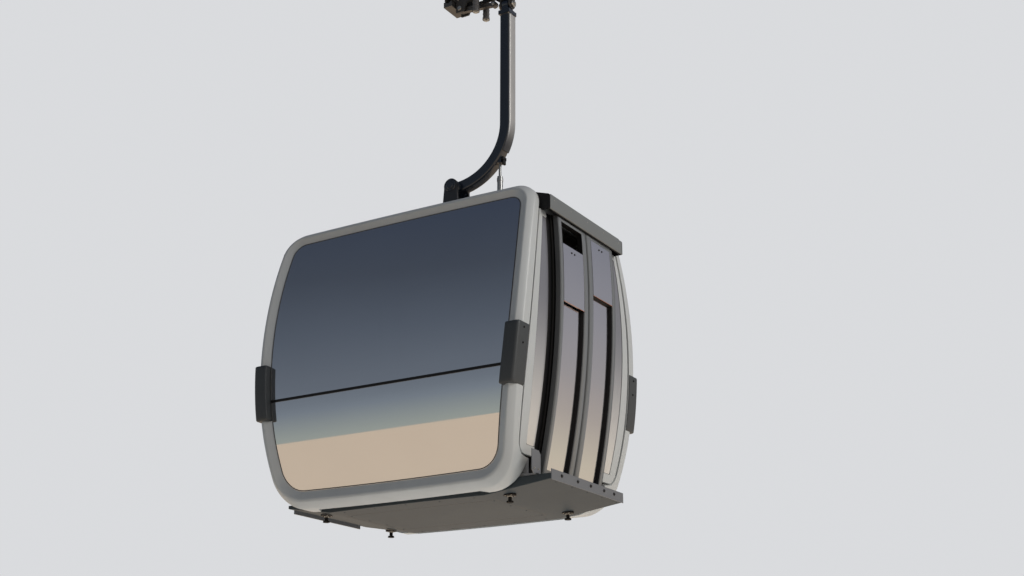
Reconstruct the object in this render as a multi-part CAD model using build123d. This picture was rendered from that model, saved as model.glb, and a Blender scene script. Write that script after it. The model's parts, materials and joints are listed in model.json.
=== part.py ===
from build123d import *
from math import atan2, cos, degrees, radians, sin, sqrt
import os

# A gondola lift cabin with its hanger and its detachable rope grip, in millimetres.
# +Z is up, +Y is the direction of travel, +X is the door side.
# The origin is on the rope's centre line, in the middle of the grip's jaw.
# Heights named h are measured up from the underside of the belly plate.

# Driving dimensions
ROPE_ABOVE_BELLY = 4260   # rope centre line over the belly plate
ROPE_R = 25               # a 50 mm haul rope

# Barrel form of the side walls: arcs about one line on each side, parallel to the travel
WALL_HALF = 1168          # half width over the end rings, at the widest height
WALL_R = 6000             # bulge radius of the side, seen from the front
WALL_H = 1500             # height of the widest line

# Bulged ends: two tangent arcs, seen from the side
END_DEPTH = 844           # glass face at its nose, from the middle of the cabin
END_H = 800               # height of the nose
END_R_UP = 4140
END_R_LOW = 2050

# End ring and its glass
RING_PROUD = 34           # crest of the ring in front of the glass
RING_DEEP = 85            # back of the ring behind the glass face
RING_WIDE = 108           # from the glass edge out to the ring's side face
RING_LOW, RING_HIGH = 16, 2206
GLASS_LOW, GLASS_HIGH = 138, 2110
GLASS_T = 8
GLASS_LAP = 12            # glass edge hidden behind the ring
RING_BEVEL = 36
RING_EDGE_R = 28
DIVIDER_H = 812
DIVIDER_HIGH = 20
ARCH = 10                 # rise of the top edge and sag of the bottom edge

# Shell between the rings
SHELL_IN = 28             # shell face inside the ring's side face
SHELL_T = 35
SHELL_LOW, SHELL_HIGH = 40, 2170
WALL_LOW, WALL_HIGH = 150, 2000
DOORWAY_HALF = 395
GAP = 2

# Door leaves, hung outside the shell
LEAF_OUT, LEAF_IN = 51, 12
LEAF_END = 420            # outer end of a closed leaf, from the middle of the doorway
LEAF_GAP = 4              # half of the gap where the leaves meet
LEAF_LOW, LEAF_HIGH = 112, 1984
STILE_OUTER, STILE_MEET = 34, 52
PANE_LOW, SASH_SEAM, VENT_HIGH = 162, 1522, 1960
PANE_IN, PANE_T = 27, 6
SASH_T = 8
SASH_LAP = 6
VENT_DROP = 165           # the front leaf's sash is slid down by this much
SEAL_T = 5
HANGER_SPOTS = (144, 44)
DOOR_TRAVEL = 370

# Base, seen from below
BASE_HALF_X = 1208
BASE_END = 500            # half length of the base at its sides
BELLY_END = 556           # half length of the belly in the middle
BELLY_HALF_X = 665
BASE_SIDE_LOW, BASE_SIDE_HIGH = 60, 127
BELLY_T = 12

# Header over the door
HEADER_OUT = 1210
HEADER_LOW, HEADER_HIGH = 2006, 2138
HEADER_END = 545

# Hanger: square tube beside the cabin with a quarter bend over the roof
HANGER_X = 515
HANGER_W, HANGER_D = 92, 90
BEND_R = 465
ARM_H = 2591              # centre line of the arm's end over the roof
PIVOT_Z = -150            # swing pin below the rope

FLOOR_TOP = 120
LENS_RIM = 44             # panel between the ring and the corner window
LENS_EDGE = 458           # straight edge of the corner window, from the middle
LENS_LOW, LENS_HIGH = 250, 1940
RUBBER = 12
BAY_MULLION = 24
HEADER_IN = 955
RAIL_X, RAIL_H, RAIL_R = 1180, 2060, 8
BASE_TOP = 98
HATCH_HALF_Y = 400
PAD_LOW = -40
BUMPER_T = 26
BUMPER_SIDE = 9
BUMPER_IN = 1040
BUMPER_BACK = 800
BUMPER_LOW, BUMPER_HIGH = 661, 1090
BENCH_HALF = 1000

# Grip
PIN_R = 20
JAW_PIVOT = (79, -69)
JAW_PIN_R = 12
JAW_HALF = 100
SPRING_X, SPRING_Y = 262, 78
WHEEL_X, WHEEL_Y, WHEEL_Z, WHEEL_R = 664, 130, 28, 62
AXLE_R = 13
GUIDE_X = 664


def height(h):
    return h - ROPE_ABOVE_BELLY


def wall_x(offset, h):
    """Distance from the cabin's middle to the side wall's arc, offset outwards."""
    return WALL_HALF - WALL_R + sqrt((WALL_R + offset) ** 2 - (h - WALL_H) ** 2)


def end_y(offset, h):
    """Distance from the cabin's middle to the end glass's arc, offset outwards."""
    radius = END_R_UP if h >= END_H else END_R_LOW
    return END_DEPTH - radius + sqrt((radius + offset) ** 2 - (h - END_H) ** 2)


def barrel(offset, low, high, r_low, r_high):
    """Outline seen from the front: bulged sides, arched top and bottom, round corners."""
    middle = (low + high) / 2
    side = [(wall_x(offset, h), height(h)) for h in (low, middle, high)]
    right = ThreePointArc(*side)
    left = ThreePointArc(*[(-x, z) for x, z in reversed(side)])
    top = ThreePointArc(side[2], (0, height(high + ARCH)), (-side[2][0], side[2][1]))
    base = ThreePointArc((-side[0][0], side[0][1]), (0, height(low - ARCH)), side[0])
    face = make_face(right + top + left + base)
    corners = face.vertices().sort_by(Axis.Y)
    face = fillet(corners[:2], r_low)
    corners = face.vertices().sort_by(Axis.Y)[-2:]
    return fillet(corners, r_high)


def front_prism(face):
    return extrude(Plane.XZ * face, amount=1500, both=True)


def end_band(outer, inner, low, high, width=1500):
    """Curved slab across the front end, between two offsets of the glass face."""
    outer_pts = [(-end_y(outer, h), height(h)) for h in (low, (low + END_H) / 2, END_H)]
    upper_pts = [(-end_y(outer, h), height(h)) for h in (END_H, (END_H + high) / 2, high)]
    inner_up = [(-end_y(inner, h), height(h)) for h in (high, (END_H + high) / 2, END_H)]
    inner_low = [(-end_y(inner, h), height(h)) for h in (END_H, (low + END_H) / 2, low)]
    edges = (
        ThreePointArc(*outer_pts)
        + ThreePointArc(*upper_pts)
        + Line(upper_pts[2], inner_up[0])
        + ThreePointArc(*inner_up)
        + ThreePointArc(*inner_low)
        + Line(inner_low[2], outer_pts[0])
    )
    return extrude(Plane.YZ * make_face(edges), amount=width, both=True)


def between_ends(offset, low, high, width=1500):
    """Everything between the two ends, out to an offset of the glass face."""
    lower = [(-end_y(offset, h), height(h)) for h in (low, (low + END_H) / 2, END_H)]
    upper = [(-end_y(offset, h), height(h)) for h in (END_H, (END_H + high) / 2, high)]
    back_up = [(-y, z) for y, z in reversed(upper)]
    back_low = [(-y, z) for y, z in reversed(lower)]
    edges = (
        ThreePointArc(*lower)
        + ThreePointArc(*upper)
        + Line(upper[2], back_up[0])
        + ThreePointArc(*back_up)
        + ThreePointArc(*back_low)
        + Line(back_low[2], lower[0])
    )
    return extrude(Plane.YZ * make_face(edges), amount=width, both=True)


def wall_band(outer, inner, low, high, y_from, y_to, side=1):
    """Curved slab of the side wall between two offsets, two heights and two stations."""
    middle = (low + high) / 2
    out_pts = [(wall_x(outer, h), height(h)) for h in (low, middle, high)]
    in_pts = [(wall_x(inner, h), height(h)) for h in (high, middle, low)]
    edges = (
        ThreePointArc(*out_pts)
        + Line(out_pts[2], in_pts[0])
        + ThreePointArc(*in_pts)
        + Line(in_pts[2], out_pts[0])
    )
    slab = extrude(Plane.XZ.offset(-y_from) * make_face(edges), amount=-(y_to - y_from))
    return slab if side > 0 else mirror(slab, about=Plane.YZ)


def block(x, y, z):
    """Box from (low, high) pairs."""
    size = [high - low for low, high in (x, y, z)]
    centre = [(high + low) / 2 for low, high in (x, y, z)]
    return Pos(*centre) * Box(*size)


def rod(radius, start, end):
    """Round bar between two points."""
    start, end = Vector(*start), Vector(*end)
    plane = Plane(origin=start, z_dir=end - start)
    return extrude(plane * Circle(radius), amount=(end - start).length)


def mirror_y(shape):
    return mirror(shape, about=Plane.XZ)


def mirror_x(shape):
    return mirror(shape, about=Plane.YZ)


def glass_outline(grow=0):
    return barrel(-RING_WIDE + grow, GLASS_LOW - grow, GLASS_HIGH + grow, 190 + grow, 105 + grow)


def on_front(edge, offset):
    """True for an edge that lies on an offset of the front glass face."""
    p = edge.position_at(0.5)
    h = p.Z + ROPE_ABOVE_BELLY
    return abs(-p.Y - end_y(offset, h)) < 0.6


def inside_opening(edge):
    p = edge.position_at(0.5)
    h = p.Z + ROPE_ABOVE_BELLY
    return (
        abs(p.X) < wall_x(-RING_WIDE, h) + 3
        and GLASS_LOW - ARCH - 3 < h < GLASS_HIGH + ARCH + 3
    )


def crest_edges(ring, inner):
    """Edges round the ring's crest, on its inner or on its outer loop."""
    loop = []
    for edge in ring.edges():
        p = edge.position_at(0.5)
        h = p.Z + ROPE_ABOVE_BELLY
        rim = (
            abs(p.X) > wall_x(-60, h)
            or h > (GLASS_HIGH + RING_HIGH) / 2 + ARCH
            or h < (GLASS_LOW + RING_LOW) / 2 - ARCH
        )
        across = edge.geom_type == GeomType.LINE
        if on_front(edge, RING_PROUD) and rim != inner and not across:
            loop.append(edge)
    return loop


def end_ring():
    """Front ring: bevelled inner face, round outer edge, rebate for the glass."""
    outline = barrel(0, RING_LOW, RING_HIGH, 285, 190)
    ring = end_band(RING_PROUD, -RING_DEEP, -80, 2320) & front_prism(outline)
    ring = ring - front_prism(glass_outline())
    ring = chamfer(crest_edges(ring, True), RING_BEVEL)
    ring = fillet(crest_edges(ring, False), RING_EDGE_R)
    rebate = front_prism(glass_outline(GLASS_LAP)) & end_band(0, -RING_DEEP - 20, -80, 2320)
    return ring - rebate


def level(low, high):
    """Slice of space between two heights."""
    return block((-1600, 1600), (-1400, 1400), (height(low), height(high)))


def end_glass():
    """Upper and lower pane of the front, and the dark bar between them."""
    pane = end_band(0, -GLASS_T, 0, 2250) & front_prism(glass_outline(GLASS_LAP - 1))
    half_bar = DIVIDER_HIGH / 2
    upper = pane & level(DIVIDER_H + half_bar, 2300)
    lower = pane & level(0, DIVIDER_H - half_bar)
    bar = end_band(4, -GLASS_T - 4, 0, 2250) & front_prism(glass_outline(-1))
    return upper, lower, bar & level(DIVIDER_H - half_bar, DIVIDER_H + half_bar)


def shell():
    """Wall, roof and floor skin between the two rings, without doorways."""
    outer = barrel(-SHELL_IN, SHELL_LOW, SHELL_HIGH, 240, 165)
    inset = SHELL_IN + SHELL_T
    inner = barrel(-inset, SHELL_LOW + SHELL_T, SHELL_HIGH - SHELL_T, 205, 130)
    between = between_ends(-RING_DEEP - GAP, -80, 2320)
    return front_prism(outer) & between, front_prism(inner) & between


def lens_window(grow=0):
    """Tall window beside the doorway, narrow at both ends, for the front right panel."""
    front = between_ends(-RING_DEEP - LENS_RIM + grow, -80, 2320)
    slab = block((0, 1500), (-1200, -LENS_EDGE + grow), (height(LENS_LOW - grow), height(LENS_HIGH + grow)))
    return front & slab


def corner_panel(outer, inner):
    skin = outer - inner
    corner = block((0, 1500), (-1400, -DOORWAY_HALF), (height(FLOOR_TOP + GAP), height(WALL_HIGH)))
    return (skin & corner) - lens_window()


def corner_window():
    band = wall_band(-SHELL_IN - 8, -SHELL_IN - 14, LENS_LOW - 40, LENS_HIGH + 40, -900, -300)
    return band & lens_window(-0.5)


def leaf_opening(low, high, inset=0):
    return block(
        (900, 1500),
        (-LEAF_END + RUBBER + STILE_OUTER + inset, -LEAF_GAP - RUBBER - STILE_MEET - inset),
        (height(low), height(high)),
    )


def leaf(vent_drop):
    """Front door leaf: frame, sliding upper sash and lower pane, seal, rubber edges, hangers."""
    body = wall_band(
        LEAF_OUT, LEAF_IN, LEAF_LOW, LEAF_HIGH, -LEAF_END + RUBBER, -LEAF_GAP - RUBBER
    )
    frame = body - leaf_opening(PANE_LOW, VENT_HIGH)
    rail = wall_band(LEAF_IN + 4, LEAF_IN, SASH_SEAM - 34, SASH_SEAM - 4, -LEAF_END + 30, -30)
    frame = frame + (rail & leaf_opening(PANE_LOW, VENT_HIGH))
    pane_out = LEAF_OUT - PANE_IN
    pane = wall_band(pane_out, pane_out - PANE_T, PANE_LOW, SASH_SEAM, -LEAF_END, 0)
    pane = pane & leaf_opening(PANE_LOW, SASH_SEAM)
    sash_low, sash_high = SASH_SEAM - vent_drop, VENT_HIGH - vent_drop
    sash = wall_band(LEAF_OUT, LEAF_OUT - SASH_T, sash_low, sash_high - 2, -LEAF_END, 0)
    sash = sash & leaf_opening(sash_low, sash_high, 2)
    seal = wall_band(LEAF_OUT - SASH_T - 1, pane_out, PANE_LOW, SASH_SEAM, -LEAF_END, 0)
    seal = seal & leaf_opening(PANE_LOW, SASH_SEAM)
    seal = seal - leaf_opening(PANE_LOW + SEAL_T, SASH_SEAM - SEAL_T, SEAL_T)
    rubber = [
        wall_band(LEAF_OUT - 2, LEAF_IN, LEAF_LOW, LEAF_HIGH, y, y + RUBBER)
        for y in (-LEAF_END, -LEAF_GAP - RUBBER)
    ]
    return frame, [pane, sash], seal, rubber, leaf_hangers()


def leaf_hangers():
    """Plates with bearings that carry a leaf on the rail in the header."""
    hangers = []
    for spot in HANGER_SPOTS:
        y = (-spot - 15, -spot + 15)
        plate = block((RAIL_X - 17, RAIL_X - 9), y, (height(LEAF_HIGH - 3), height(RAIL_H + 20)))
        bearing = rod(15, (RAIL_X, y[0], height(RAIL_H)), (RAIL_X, y[1], height(RAIL_H)))
        bore = rod(RAIL_R + 0.5, (RAIL_X, y[0] - 1, height(RAIL_H)), (RAIL_X, y[1] + 1, height(RAIL_H)))
        hangers.append(plate + bearing - bore)
    return hangers


def left_bay():
    """Fixed bay on the side without doors: frame with a flange to the shell, and two panes."""
    frame = wall_band(LEAF_OUT, LEAF_IN, LEAF_LOW, LEAF_HIGH, -LEAF_END, LEAF_END)
    flange = wall_band(LEAF_IN, -SHELL_IN, FLOOR_TOP + GAP + 10, WALL_HIGH - 20, -LEAF_END, LEAF_END)
    hole = block((900, 1500), (-LEAF_END + 24, LEAF_END - 24), (height(PANE_LOW), height(VENT_HIGH)))
    frame = frame + (flange - hole)
    panes = []
    pane_out = LEAF_OUT - PANE_IN
    for side in (-1, 1):
        near, far = sorted((side * BAY_MULLION, side * (LEAF_END - STILE_OUTER)))
        opening = block((900, 1500), (near, far), (height(PANE_LOW), height(VENT_HIGH)))
        frame = frame - opening
        pane = wall_band(pane_out, pane_out - PANE_T, PANE_LOW, VENT_HIGH, near, far)
        panes.append(mirror_x(pane))
    return mirror_x(frame), panes


def header_profile(shrink=0):
    """Closed outline of the cover over the door, in the XZ plane."""
    points = [
        (HEADER_IN, HEADER_LOW),
        (HEADER_OUT - 12, HEADER_LOW),
        (HEADER_OUT, HEADER_LOW + 12),
        (HEADER_OUT, HEADER_HIGH - 22),
        (HEADER_OUT - 14, HEADER_HIGH),
        (HEADER_IN + 4, SHELL_HIGH + 14),
        (HEADER_IN, SHELL_HIGH + 14),
    ]
    face = make_face(Polyline(*[(x, height(h)) for x, h in points], close=True))
    return offset(face, -shrink, kind=Kind.INTERSECTION) if shrink else face


def header(outer):
    """Cover over the door, open below and towards the cabin, and its two end caps."""
    rings = front_prism(barrel(GAP, RING_LOW, RING_HIGH + GAP, 285, 190))
    rings = rings - between_ends(-RING_DEEP - GAP, -80, 2320)
    cover = extrude(Plane.XZ * header_profile(), amount=HEADER_END - 8, both=True)
    cavity = block((900, HEADER_OUT - 8), (-1000, 1000), (height(1900), height(HEADER_HIGH - 30)))
    slope = extrude(Plane.XZ * header_profile(8), amount=1000, both=True)
    cover = cover - cavity - slope - outer - rings
    caps = []
    for side in (-1, 1):
        y = side * (HEADER_END - 8)
        cap = extrude(Plane.XZ.offset(-y) * header_profile(), amount=-side * 8)
        caps.append(cap - outer - rings)
    return cover, caps


def base_plate(outer):
    """Undertray: flat belly, sides rising to the sills, ends slightly bowed."""
    points = [
        (-BASE_HALF_X, BASE_SIDE_LOW),
        (-BELLY_HALF_X, 0),
        (BELLY_HALF_X, 0),
        (BASE_HALF_X, BASE_SIDE_LOW),
        (BASE_HALF_X, BASE_TOP),
        (-BASE_HALF_X, BASE_TOP),
    ]
    face = make_face(Polyline(*[(x, height(h)) for x, h in points], close=True))
    tray = extrude(Plane.XZ * face, amount=BELLY_END + 50, both=True)
    corner = (BASE_HALF_X, BASE_END)
    plan = make_face(
        Line((BASE_HALF_X, -BASE_END), corner)
        + ThreePointArc(corner, (0, BELLY_END), (-BASE_HALF_X, BASE_END))
        + Line((-BASE_HALF_X, BASE_END), (-BASE_HALF_X, -BASE_END))
        + ThreePointArc((-BASE_HALF_X, -BASE_END), (0, -BELLY_END), (BASE_HALF_X, -BASE_END))
    )
    tray = tray & extrude(Pos(0, 0, height(0)) * plan, amount=400, both=True)
    seam = Rectangle(2 * BELLY_HALF_X - 6, 2 * HATCH_HALF_Y) - Rectangle(
        2 * BELLY_HALF_X - 14, 2 * HATCH_HALF_Y - 8
    )
    return tray - extrude(Pos(0, 0, height(0)) * seam, amount=3, both=True) - outer


def sill_strip():
    """Folded strip along the base under the door."""
    points = [
        (BASE_HALF_X, BASE_SIDE_LOW - 3),
        (BASE_HALF_X + 5, BASE_SIDE_LOW - 3),
        (BASE_HALF_X + 5, BASE_SIDE_HIGH),
        (BASE_HALF_X - 26, BASE_SIDE_HIGH),
        (BASE_HALF_X - 26, BASE_SIDE_HIGH - 4),
        (BASE_HALF_X, BASE_SIDE_HIGH - 4),
    ]
    face = make_face(Polyline(*[(x, height(h)) for x, h in points], close=True))
    return extrude(Plane.XZ * face, amount=BASE_END, both=True)


def guide_bracket(y, outer):
    """Hooked guide that the lower edge of an open leaf runs in."""
    inner_x = wall_x(LEAF_IN, LEAF_LOW) - 6
    outer_x = wall_x(LEAF_OUT, LEAF_LOW + 30) + 6
    ys = (y - 35, y + 35)
    arm = block((900, outer_x + 8), ys, (height(LEAF_LOW - 16), height(LEAF_LOW - 7)))
    hook = block((outer_x, outer_x + 8), ys, (height(LEAF_LOW - 16), height(LEAF_LOW + 28)))
    rib = block((900, inner_x), (y - 5, y + 5), (height(LEAF_LOW - 16), height(LEAF_LOW + 90)))
    return arm + hook + rib - outer


def foot(x, y, base):
    """Support foot: flange against the base, stem and round pad."""
    under = (abs(x) - BELLY_HALF_X) * BASE_SIDE_LOW / (BASE_HALF_X - BELLY_HALF_X)
    pad_top = PAD_LOW + 10
    flange = rod(44, (x, y, height(under - 8)), (x, y, height(under + 20))) - base
    stem = rod(13, (x, y, height(pad_top)), (x, y, height(under - 8)))
    pad = rod(24, (x, y, height(PAD_LOW)), (x, y, height(pad_top)))
    return flange + stem + pad


def bumper(ring):
    """Pad wrapped round the front right corner of the ring."""
    body = front_prism(barrel(BUMPER_SIDE, RING_LOW - 40, RING_HIGH + 40, 285, 190))
    body = body & end_band(RING_PROUD + BUMPER_T, -60, -80, 2320)
    reach = block((BUMPER_IN, 1400), (-1100, -BUMPER_BACK), (height(BUMPER_LOW), height(BUMPER_HIGH)))
    pad = body & reach
    corner = []
    for edge in pad.edges():
        p, rise = edge.position_at(0.5), (edge.position_at(1) - edge.position_at(0)).Z
        if p.Y < -END_DEPTH - RING_PROUD and p.X > BUMPER_IN + 60 and abs(rise) > 100:
            corner.append(edge)
    behind_glass = front_prism(glass_outline(GLASS_LAP + 1)) & end_band(2, -100, -80, 2320)
    return fillet(corner, 20) - ring - behind_glass


def bench(shell_inner):
    """Seat shell and cushion for five, with its back against the front end."""
    points = [
        (-640, 130), (-640, 470), (-300, 470), (-300, 430), (-560, 410), (-590, 130),
    ]
    face = make_face(Polyline(*[(y, height(h)) for y, h in points], close=True))
    frame = extrude(Plane.YZ * face, amount=BENCH_HALF, both=True)
    seat = block((-BENCH_HALF, BENCH_HALF), (-620, -290), (height(471), height(521)))
    back_points = [(-640, 521), (-580, 521), (-600, 940), (-640, 940)]
    back_face = make_face(Polyline(*[(y, height(h)) for y, h in back_points], close=True))
    back = extrude(Plane.YZ * back_face, amount=BENCH_HALF, both=True)
    return frame & shell_inner, (seat + back) & shell_inner


def hanger():
    """Square tube with a quarter bend, an eye for the swing pin above and a drum below."""
    section = RectangleRounded(HANGER_W, HANGER_D, 16)
    bend_top = ARM_H + BEND_R
    head_z = PIVOT_Z - 62
    shaft = extrude(Pos(HANGER_X, 0, height(bend_top)) * section, amount=head_z - height(bend_top))
    axis = Axis((HANGER_X - BEND_R, 0, height(bend_top)), (0, 1, 0))
    bend = revolve(Pos(HANGER_X, 0, height(bend_top)) * section, axis, revolution_arc=90)
    drum_x = HANGER_X - BEND_R
    drum = rod(58, (drum_x, -70, height(ARM_H)), (drum_x, 70, height(ARM_H)))
    drum = drum - rod(21, (drum_x, -80, height(ARM_H)), (drum_x, 80, height(ARM_H)))
    head = block(
        (HANGER_X - 52, HANGER_X + 52), (-56, 56), (head_z - 34, head_z)
    )
    neck = block((HANGER_X - 28, HANGER_X + 28), (-42, 42), (head_z, PIVOT_Z))
    eye = rod(46, (HANGER_X - 28, 0, PIVOT_Z), (HANGER_X + 28, 0, PIVOT_Z))
    bore = rod(PIN_R + 0.3, (HANGER_X - 60, 0, PIVOT_Z), (HANGER_X + 60, 0, PIVOT_Z))
    arm = shaft + bend + head + (neck + eye - bore)
    return (arm - rod(57, (drum_x, -200, height(ARM_H)), (drum_x, 200, height(ARM_H)))) + drum


def suspension():
    """Roof frame that takes the drum: two cross beams, two cheeks and the pin."""
    roof_top = SHELL_HIGH + ARCH + 1
    x = HANGER_X - BEND_R
    frame = None
    for side in (-1, 1):
        y = sorted((side * 76, side * 96))
        cheek = rod(62, (x, y[0], height(ARM_H)), (x, y[1], height(ARM_H)))
        post_face = make_face(
            Polyline((x - 62, height(ARM_H)), (x + 62, height(ARM_H)), (x + 190, height(roof_top + 70)),
                     (x - 190, height(roof_top + 70)), close=True)
        )
        post = extrude(Plane.XZ.offset(-y[0]) * post_face, amount=-(y[1] - y[0]))
        beam_y = sorted((side * 60, side * 140))
        beam = block((-470, 560), beam_y, (height(roof_top + 24), height(roof_top + 70)))
        piece = cheek + post + beam
        frame = piece if frame is None else frame + piece
    for bx in (-440, 530):
        frame = frame + block((bx - 40, bx + 40), (-260, 260), (height(roof_top + 24), height(roof_top + 64)))
    frame = frame - rod(20.3, (x, -200, height(ARM_H)), (x, 200, height(ARM_H)))
    pads = [
        rod(38, (bx, by, height(roof_top)), (bx, by, height(roof_top + 24)))
        for bx in (-440, 530) for by in (-220, 220)
    ]
    pin = rod(20, (x, -108, height(ARM_H)), (x, 108, height(ARM_H)))
    return frame, pads, pin


def damper():
    """Strut between the hanger's bend and the roof frame."""
    x, top, bottom = 452, ARM_H + 150, SHELL_HIGH + ARCH + 71
    tube = rod(22, (x, 0, height(bottom + 20)), (x, 0, height(top - 130)))
    bar = rod(11, (x, 0, height(top - 130)), (x, 0, height(top - 20)))
    foot_block = block((x - 30, x + 30), (-58, 58), (height(bottom - 40), height(bottom + 20)))
    clevis = block((x - 24, x + 24), (-30, 30), (height(top - 20), height(top + 40)))
    return tube + bar + foot_block, clevis


def grip_plate():
    """Side plate of the grip, in the XZ plane."""
    points = [
        (-34, -4), (-34, 40), (-20, 66), (90, 74), (300, 56), (618, 56), (618, -84),
        (430, -84), (380, -40), (150, -34), (118, -104), (44, -104), (44, -4),
    ]
    face = make_face(Polyline(*points, close=True))
    holes = Pos(JAW_PIVOT[0], JAW_PIVOT[1]) * Circle(JAW_PIN_R)
    window = Pos(225, 10) * SlotOverall(130, 40)
    return face - holes - window


def grip():
    """Grip frame: two side plates, jaw block on the rope, cheeks for the swing pin, wheel plate."""
    plate = grip_plate()
    frame = block((-34, 78), (-34, 34), (-4, 64)) + block((-34, 44), (-JAW_HALF, JAW_HALF), (-4, 46))
    for side in (-1, 1):
        y = sorted((side * 34, side * 46))
        frame = frame + extrude(Plane.XZ.offset(-y[0]) * plate, amount=-12)
        lug_y = sorted((side * 46, side * (SPRING_Y + 30)))
        frame = frame + block((SPRING_X - 30, SPRING_X + 30), lug_y, (32, 42))
    for x in (HANGER_X - 46, HANGER_X + 34):
        cheek = rod(44, (x, 0, PIVOT_Z), (x + 12, 0, PIVOT_Z))
        cheek = cheek + block((x, x + 12), (-44, 44), (PIVOT_Z, 50))
        frame = frame + cheek
    frame = frame + block((HANGER_X - 46, 618), (-34, 34), (-60, 50))
    frame = frame + block((606, 618), (-WHEEL_Y - 34, WHEEL_Y + 34), (0, 56))
    frame = frame + block((606, 700), (-14, 14), (-60, -48)) + block((606, 618), (-30, 30), (-84, 10))
    frame = frame - rod(ROPE_R, (0, -300, 0), (0, 300, 0))
    frame = frame - rod(PIN_R, (HANGER_X - 80, 0, PIVOT_Z), (HANGER_X + 80, 0, PIVOT_Z))
    for side in (-1, 1):
        axle = rod(AXLE_R, (606, side * WHEEL_Y, WHEEL_Z), (WHEEL_X + 26, side * WHEEL_Y, WHEEL_Z))
        frame = frame + axle
    spindle = rod(AXLE_R - 2, (GUIDE_X, 0, -60), (GUIDE_X, 0, -110))
    return frame + spindle


def moving_jaw():
    """Claw under the rope with its lever."""
    px, pz = JAW_PIVOT
    wide = block((-42, px - 44), (-JAW_HALF, JAW_HALF), (-58, -10))
    neck = block((px - 46, px), (-28, 28), (-58, -10))
    hub = rod(26, (px, -28, pz), (px, 28, pz))
    lever_face = make_face(
        Polyline((px, pz + 24), (px, pz - 24), (390, -122), (390, -92), close=True)
    )
    lever = extrude(Plane.XZ * lever_face, amount=18, both=True)
    roller = rod(26, (390, -22, -107), (390, 22, -107))
    body = wide + neck + hub + lever + roller
    body = body - rod(ROPE_R + 1, (0, -300, 0), (0, 300, 0))
    return body - rod(JAW_PIN_R + 0.3, (px, -60, pz), (px, 60, pz))


def spring_packs():
    packs = []
    for side in (-1, 1):
        y = side * SPRING_Y
        pack = rod(26, (SPRING_X, y, -160), (SPRING_X, y, 20)) + rod(30, (SPRING_X, y, 20), (SPRING_X, y, 32))
        pack = pack + rod(30, (SPRING_X, y, -172), (SPRING_X, y, -160))
        packs.append(pack)
    return packs


def wheel(y):
    """Running wheel of the grip."""
    face = make_face(
        Polyline((WHEEL_X - 20, AXLE_R + 0.3), (WHEEL_X + 20, AXLE_R + 0.3), (WHEEL_X + 20, 30),
                 (WHEEL_X + 12, 36), (WHEEL_X + 12, 50), (WHEEL_X + 20, 54), (WHEEL_X + 18, WHEEL_R),
                 (WHEEL_X - 18, WHEEL_R), (WHEEL_X - 20, 54), (WHEEL_X - 12, 50),
                 (WHEEL_X - 12, 36), (WHEEL_X - 20, 30), close=True)
    )
    disc = revolve(face, Axis((0, 0, 0), (1, 0, 0)))
    return Pos(0, y, WHEEL_Z) * disc


def guide_roller():
    roller = rod(34, (GUIDE_X, 0, -106), (GUIDE_X, 0, -66))
    return roller - rod(AXLE_R - 1.7, (GUIDE_X, 0, -120), (GUIDE_X, 0, -40))


def save(name, shape):
    """Write one node; a list becomes one node of separate solids."""
    if isinstance(shape, list):
        shape = Compound([solid for piece in shape for solid in piece.solids()])
    print(name, len(shape.solids()), round(shape.volume / 1e3), shape.is_valid)
    export_step(shape, f"parts/{name}.step")


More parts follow.
